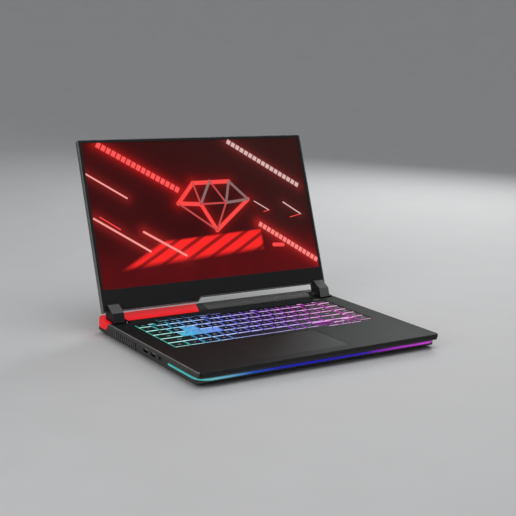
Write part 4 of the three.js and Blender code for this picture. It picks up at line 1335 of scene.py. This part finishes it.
    def screw(self, bm: bmesh.types.BMesh, centre: Vector) -> None:
        """Adds one screw head with a cross recess, facing down.

        Args:
            bm: the mesh it goes into.
            centre: the middle of its face.
        """
        radius = self.screw_radius * MM
        turns = [math.tau * side / self.screw_sides for side in range(self.screw_sides)]
        ring = [centre + Vector((radius * math.cos(turn), radius * math.sin(turn), 0)) for turn in turns]
        faces = add_prism(bm, ring, Vector((0, 0, self.screw_height * MM)))
        rim = list(faces[1].verts)
        bm.faces.remove(faces[0])
        mouth = [bm.verts.new(centre + Vector((x, y, 0))) for x, y in self.cross()]
        deep = [bm.verts.new(v.co + Vector((0, 0, self.cross_depth * MM))) for v in mouth]
        for i in range(len(mouth)):
            after = (i + 1) % len(mouth)
            bm.faces.new((mouth[i], deep[i], deep[after], mouth[after]))
        bm.faces.new(deep)
        foot = [e.other_vert(v) for v in rim for e in v.link_edges if e.other_vert(v).co.z < v.co.z - 1e-6]
        open_edges = [e for e in bm.edges if len(e.link_faces) == 1]
        edges = [e for e in open_edges if e.verts[0] in foot or e.verts[0] in mouth]
        bmesh.ops.bridge_loops(bm, edges=edges)
        bmesh.ops.recalc_face_normals(bm, faces=bm.faces)

    def inside(self) -> None:
        """Finishes for what lies behind the vents and inside the case."""
        for node in ("motherboard", "memory_module", "storage_module"):
            dress(node, Finishes.board)
        for node in ("heat_pipes", "fin_stack_left", "fin_stack_right"):
            dress(node, Finishes.copper)
        dress("battery_pack", Finishes.black)
        for side in ("left", "right"):
            for part in ("speaker_", "fan_housing_", "fan_wheel_"):
                dress(part + side, Finishes.black)
        dress("keyboard_plate", Finishes.film)


@dataclass
class Sockets:
    """The sockets along the edges."""

    metal: tuple[str, ...] = (
        "usb_port_left_front",
        "usb_port_left_rear",
        "usb_port_rear",
        "usb_c_port",
        "hdmi_port",
        "lan_port",
    )
    black: tuple[str, ...] = ("headphone_jack", "power_inlet")

    def build(self) -> None:
        """Builds and dresses the sockets."""
        for node in self.metal:
            finished(node, node + "_shell", "chassis", (Finishes.socket,), 0.12, 2)
        for node in self.black:
            finished(node, node + "_body", "chassis", (Finishes.black,), 0.2, 2)


# ---------------------------------------------------------------- the keyboard
@dataclass(frozen=True)
class KeyRow:
    """One row of keys: its node, its number from the front, and its widths and marks in order."""

    node: str
    row: int
    widths: tuple[float, ...]
    marks: tuple[str, ...]
    alone: tuple[tuple[int, str], ...] = ()
    side_mark: str = ""


KEY_ROWS = (
    KeyRow(
        "modifier_keys",
        0,
        (1.12, 1.12, 1.12, 0.98, 4.79, 1.01, 1.01),
        ("ctrl", "fn", "sys", "alt", "", "alt", "ctrl"),
        side_mark="end",
    ),
    KeyRow(
        "lower_letter_keys",
        1,
        (2.25, *[1.0] * 10, 2.25),
        ("shift", *"ZXCVBNM,./", "shift"),
        side_mark="pgdn",
    ),
    KeyRow(
        "home_letter_keys",
        2,
        (1.75, *[1.0] * 11, 1.75),
        ("caps", *"ASDFGHJKL;'", "enter"),
        ((1, "key_a"), (2, "key_s"), (3, "key_d")),
        "pgup",
    ),
    KeyRow("upper_letter_keys", 3, (1.5, *[1.0] * 13), ("tab", *"QWERTYUIOP[]#"), ((2, "key_w"),), "home"),
    KeyRow("number_keys", 4, (*[1.0] * 13, 1.5), (*"`1234567890-=", "back"), side_mark="ins"),
)


@dataclass
class Keyboard:
    """The keys with their lit skirts and marks, the touchpad and the power button."""

    left: float = -150.5
    front: float = -29.5
    pitch: Point2 = (19.05, 18.65)
    row_units: float = 14.5
    gap: float = 1.95
    side_left: float = 129.5
    side_width: float = 18.0
    end_width: float = 17.1
    function_width: float = 15.9
    function_pitch: float = 17.6
    function_depth: float = 11.5
    letter_height: float = 4.4
    word_height: float = 2.5
    type_size: float = 1.35  # the size of the type over the height of a letter
    mark_depth: float = 0.04
    banks: tuple[str, ...] = (
        "hotkeys",
        "function_keys",
        "number_keys",
        "upper_letter_keys",
        "home_letter_keys",
        "lower_letter_keys",
        "modifier_keys",
        "space_bar",
        "arrow_key_left",
        "arrow_key_down",
        "arrow_key_right",
        "arrow_key_up",
    )
    game_keys: tuple[str, ...] = ("key_w", "key_a", "key_s", "key_d")

    def build(self) -> None:
        """Builds and dresses every key."""

        def slot(face: bmesh.types.BMFace) -> int:
            """The black cap for upper faces, the bright lip in front, and the dimmer skirt."""
            if face.normal.z > 0.9:
                return 0
            return 2 if face.normal.y < -0.3 else 1

        paints = (Finishes.keycap, Finishes.skirt, Finishes.lip)
        for node in self.banks:
            finished(node, node + "_caps", node, paints, 0.18, 2, slot)
        for node in self.game_keys:
            finished(node, node + "_cap", node, (Finishes.game_cap,), 0.22, 2)
        self.row_marks()
        self.function_marks()
        self.arrow_marks()
        finished("touchpad", "touch_surface", "touchpad", (Finishes.pad,), 0.2, 2)
        finished("power_button", "power_key", "power_button", (Finishes.hinge,), 0.25, 2)

    def glyph(self, text: str) -> bpy.types.Mesh:
        """The thin raised shape of a mark, centred on the origin.

        Args:
            text: its letters.

        Returns:
            Its mesh.
        """
        curve = bpy.data.curves.new("mark", "FONT")
        curve.body = text
        curve.size = self.type_size * (self.letter_height if len(text) == 1 else self.word_height) * MM
        curve.align_x, curve.align_y = "CENTER", "CENTER"
        curve.extrude = self.mark_depth * MM
        curve.resolution_u = 3
        shown = add_object("mark", curve)
        mesh = bpy.data.meshes.new_from_object(shown.evaluated_get(bpy.context.evaluated_depsgraph_get()))
        bpy.data.objects.remove(shown)
        bpy.data.curves.remove(curve)
        return mesh

    def add_marks(self, node: str, marks: Iterable[tuple[str, float, float]], finish: Finish) -> None:
        """Puts marks on the keys of one body.

        Args:
            node: the keys' node and body.
            marks: the letters of each with the middle of its key.
            finish: what they are printed in.
        """
        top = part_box(node)[1].z
        middle = chassis_middle()
        bm = bmesh.new()
        for text, x, y in marks:
            before = len(bm.verts)
            mesh = self.glyph(text)
            bm.from_mesh(mesh)
            bpy.data.meshes.remove(mesh)
            bm.verts.ensure_lookup_table()
            bmesh.ops.translate(bm, verts=bm.verts[before:], vec=Vector((x * MM, y * MM + middle, top)))
        loose_piece(bm, node + "_marks", node, finish)

    def row_marks(self) -> None:
        """The marks on the letter, number and modifier rows."""
        for row in KEY_ROWS:
            y = self.front + row.row * self.pitch[1] + (self.pitch[1] - self.gap) / 2
            lone = dict(row.alone)
            marks = [(row.side_mark, self.side_left + self.side_width / 2, y)]
            x = self.left
            for i, (width, text) in enumerate(zip(row.widths, row.marks)):
                middle = x + (width * self.pitch[0] - self.gap) / 2
                x += width * self.pitch[0]
                if i in lone:
                    self.add_marks(lone[i], [(text, middle, y)], Finishes.ink)
                elif text:
                    marks.append((text, middle, y))
            self.add_marks(row.node, marks, Finishes.legend)

    def function_marks(self) -> None:
        """The marks on the function row."""
        y = self.front + len(KEY_ROWS) * self.pitch[1] + self.function_depth / 2
        right = self.left + self.row_units * self.pitch[0] - self.gap
        group = 3 * self.function_pitch + self.function_width
        slack = right - self.left - 2 * self.end_width - 3 * group
        marks = [("esc", self.left + self.end_width / 2, y), ("del", right - self.end_width / 2, y)]
        for i in range(12):
            start = self.left + self.end_width + slack * (i // 4 + 1) / 4 + (i // 4) * group
            marks.append((f"F{i + 1}", start + (i % 4) * self.function_pitch + self.function_width / 2, y))
        marks.append(("prt", self.side_left + self.side_width / 2, y))
        self.add_marks("function_keys", marks, Finishes.legend)

    def arrow_marks(self) -> None:
        """The marks on the arrow keys."""
        for direction, text in (("left", "<"), ("down", "v"), ("right", ">"), ("up", "^")):
            node = "arrow_key_" + direction
            low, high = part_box(node)
            middle = (low + high) / 2
            place = (text, middle.x / MM, (middle.y - chassis_middle()) / MM)
            self.add_marks(node, [place], Finishes.legend)


# ---------------------------------------------------------------- the lid
@dataclass
class Lid:
    """The lid: its shell, the bezel, the lit screen and the hinges."""

    screen_width: float = 344.2
    screen_height: float = 193.6
    chin: float = 29.2
    lean: float = 20.9
    reach: float = 10.2

    def frame(self) -> Matrix:
        """The lid's own frame.

        Returns:
            A matrix with its origin on the hinge axis, +Z up the lid and +Y out through its back.
        """
        joint = next(j for j in FRAME["joints"] if j["name"] == "lid_hinge")
        return Matrix.Translation(Vector(joint["pos_m"])) @ Matrix.Rotation(-math.radians(self.lean), 4, "X")

    def build(self) -> None:
        """Builds and dresses every piece of the lid."""
        self.shell()
        self.screen()
        self.hinges()

    def shell(self) -> None:
        """The metal shell and the matte frame round the screen."""
        back = self.frame().to_3x3() @ Vector((0, 1, 0))

        def slot(face: bmesh.types.BMFace) -> int:
            """The brushed back, or the brighter rim."""
            return 0 if face.normal.dot(back) > 0.5 else 1

        finished("lid_cover", "lid_shell", "lid", (Finishes.lid, Finishes.rim), 0.7, 3, slot)
        finished("screen_bezel", "screen_frame", "lid", (Finishes.bezel,), 0.25, 2)

    def screen(self) -> None:
        """The lit screen: the panel's front carries the picture."""
        bm = node_mesh("display_panel")
        bm.normal_update()
        chart = bm.loops.layers.uv.new(SCREEN_CHART)
        into = self.frame().inverted()
        facing = self.frame().to_3x3() @ Vector((0, -1, 0))
        low = (self.reach + self.chin) * MM
        width, height = self.screen_width * MM, self.screen_height * MM
        for face in bm.faces:
            face.material_index = 0 if face.normal.dot(facing) > 0.9 else 1
            for loop in face.loops:
                here = into @ loop.vert.co
                loop[chart].uv = (here.x / width + 0.5, (here.z - low) / height)
        made = to_mesh(bm, "lit_screen", (Finishes.screen, Finishes.black))
        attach(made, "lid")
        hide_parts("display_panel")
        LOG.info("lit_screen: %d faces", len(made.data.polygons))

    def hinges(self) -> None:
        """The arms, coloured with painted light and shade, the leaves inside them and the fixed brackets."""
        front = self.frame().to_3x3() @ Vector((0, -1, 0))

        def slot(face: bmesh.types.BMFace) -> int:
            """The sloping plate, the sides in painted shade, or the front."""
            if face.normal.z > 0.5 or face.normal.dot(front) < -0.5:
                return 0
            return 2 if face.normal.dot(front) > 0.7 else 1

        # Painted light and shade: the left arm has a lit plate and a shaded front, the right arm a shaded
        # plate and a lit front, and both have shaded sides.
        paints = {
            "left": (Finishes.hinge, Finishes.hinge_sides_painted_shade, Finishes.hinge_front_painted_shade),
            "right": (Finishes.hinge_plate_painted_shade, Finishes.hinge_sides_painted_shade, Finishes.hinge_front_painted_light),
        }
        for side, finishes in paints.items():
            finished("hinge_arm_" + side, "hinge_cover_" + side, "lid", finishes, 0.6, 3, slot)
            dress("hinge_leaf_" + side, Finishes.steel)
            dress("hinge_bracket_" + side, Finishes.steel)


# ---------------------------------------------------------------- the studio
@dataclass
class SoftLight:
    """A square soft light: its name, where it hangs, what it faces, its width and its watts."""

    name: str
    place: Point3
    target: Point3
    size: float
    power: float

    def build(self) -> None:
        """Hangs the light."""
        lamp = bpy.data.lights.new(self.name, "AREA")
        lamp.size = self.size
        lamp.energy = self.power
        made = bpy.data.objects.new(self.name, lamp)
        bpy.context.scene.collection.objects.link(made)
        made.location = self.place
        aim = Vector(self.target) - Vector(self.place)
        made.rotation_euler = aim.to_track_quat("-Z", "Y").to_euler()


@dataclass
class Studio:
    """The floor, the soft lights and the camera, with lengths in metres."""

    camera_place: Point3 = (-0.7447, -1.0796, 0.3610)  # from the middle of the deck
    forward: Point3 = (0.54660533, 0.81218582, -0.20390393)
    roll: float = 2.08
    lens: float = 74.04
    sensor: float = 36.0
    floor_radius: float = 2.2
    floor_curve: float = 1.6
    curve_steps: int = 10
    floor_sides: int = 96
    sky: Colour = (0.8, 0.82, 0.85)
    sky_strength: float = 0.35
    soft_lights: tuple[SoftLight, ...] = (
        SoftLight("top_light", (0.2, -0.2, 1.6), (0, 0, 0.1), 1.4, 9.0),
        SoftLight("side_light", (-1.5, -0.5, 0.7), (0, 0, 0.05), 0.9, 7.0),
        SoftLight("rear_light", (1.3, 0.9, 0.9), (0, 0, 0.05), 0.8, 9.0),
    )

    def build(self) -> None:
        """Builds the whole studio."""
        self.floor()
        self.lights()
        self.camera()

    def floor(self) -> None:
        """A wide pale floor that curves up into a low wall all round."""
        rings = [(0.6 * self.floor_radius, 0.0), (self.floor_radius, 0.0)]
        for step in range(1, self.curve_steps + 1):
            angle = math.pi / 2 * step / self.curve_steps
            out, up = self.floor_curve * math.sin(angle), self.floor_curve * (1 - math.cos(angle))
            rings.append((self.floor_radius + out, up))
        bm = bmesh.new()
        turns = [math.tau * side / self.floor_sides for side in range(self.floor_sides)]
        rows = [
            [bm.verts.new((radius * math.cos(turn), radius * math.sin(turn), height)) for turn in turns]
            for radius, height in rings
        ]
        bm.faces.new(rows[0])
        for near, far in zip(rows, rows[1:]):
            for side in range(self.floor_sides):
                after = (side + 1) % self.floor_sides
                bm.faces.new((near[side], far[side], far[after], near[after]))
        sharpen(bm, 60.0)
        pale, paler = (0.60, 0.60, 0.60), (0.62, 0.62, 0.62)
        paint = Moulding("floor_paint", paler, deep=pale, roughness=0.7, wear=0.0, smudge=0.0)
        to_mesh(bm, "studio_floor", (paint,))

    def lights(self) -> None:
        """A broad top light, a side fill, a rear edge light and a dim sky."""
        for light in self.soft_lights:
            light.build()
        world = bpy.data.worlds.new("soft_sky")
        world.use_nodes = True
        background = world.node_tree.nodes["Background"].inputs
        background["Color"].default_value = (*self.sky, 1)
        background["Strength"].default_value = self.sky_strength
        bpy.context.scene.world = world

    def camera(self) -> None:
        """The camera, in front of the object, to its left and a little above the deck."""
        deck = Vector((0, chassis_middle(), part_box("keyboard_deck")[1].z))
        forward = Vector(self.forward).normalized()
        level = forward.cross(Vector((0, 0, 1))).normalized()
        upright = level.cross(forward)
        turn = math.radians(self.roll)
        right = level * math.cos(turn) + upright * math.sin(turn)
        up = upright * math.cos(turn) - level * math.sin(turn)
        data = bpy.data.cameras.new("studio_camera")
        data.lens = self.lens
        data.sensor_width = self.sensor
        made = bpy.data.objects.new("studio_camera", data)
        bpy.context.scene.collection.objects.link(made)
        basis = Matrix((right, up, -forward)).transposed()
        made.matrix_world = Matrix.Translation(Vector(self.camera_place) + deck) @ basis.to_4x4()
        bpy.context.scene.camera = made


def main() -> None:
    """Builds the laptop computer and the studio round it."""
    logging.basicConfig(level=logging.INFO, format="%(name)s: %(message)s")
    bpy.context.scene.view_settings.view_transform = "Standard"
    for assembly in (Chassis(), Sockets(), Keyboard(), Lid(), Studio()):
        assembly.build()


if __name__ == "__main__":
    main()
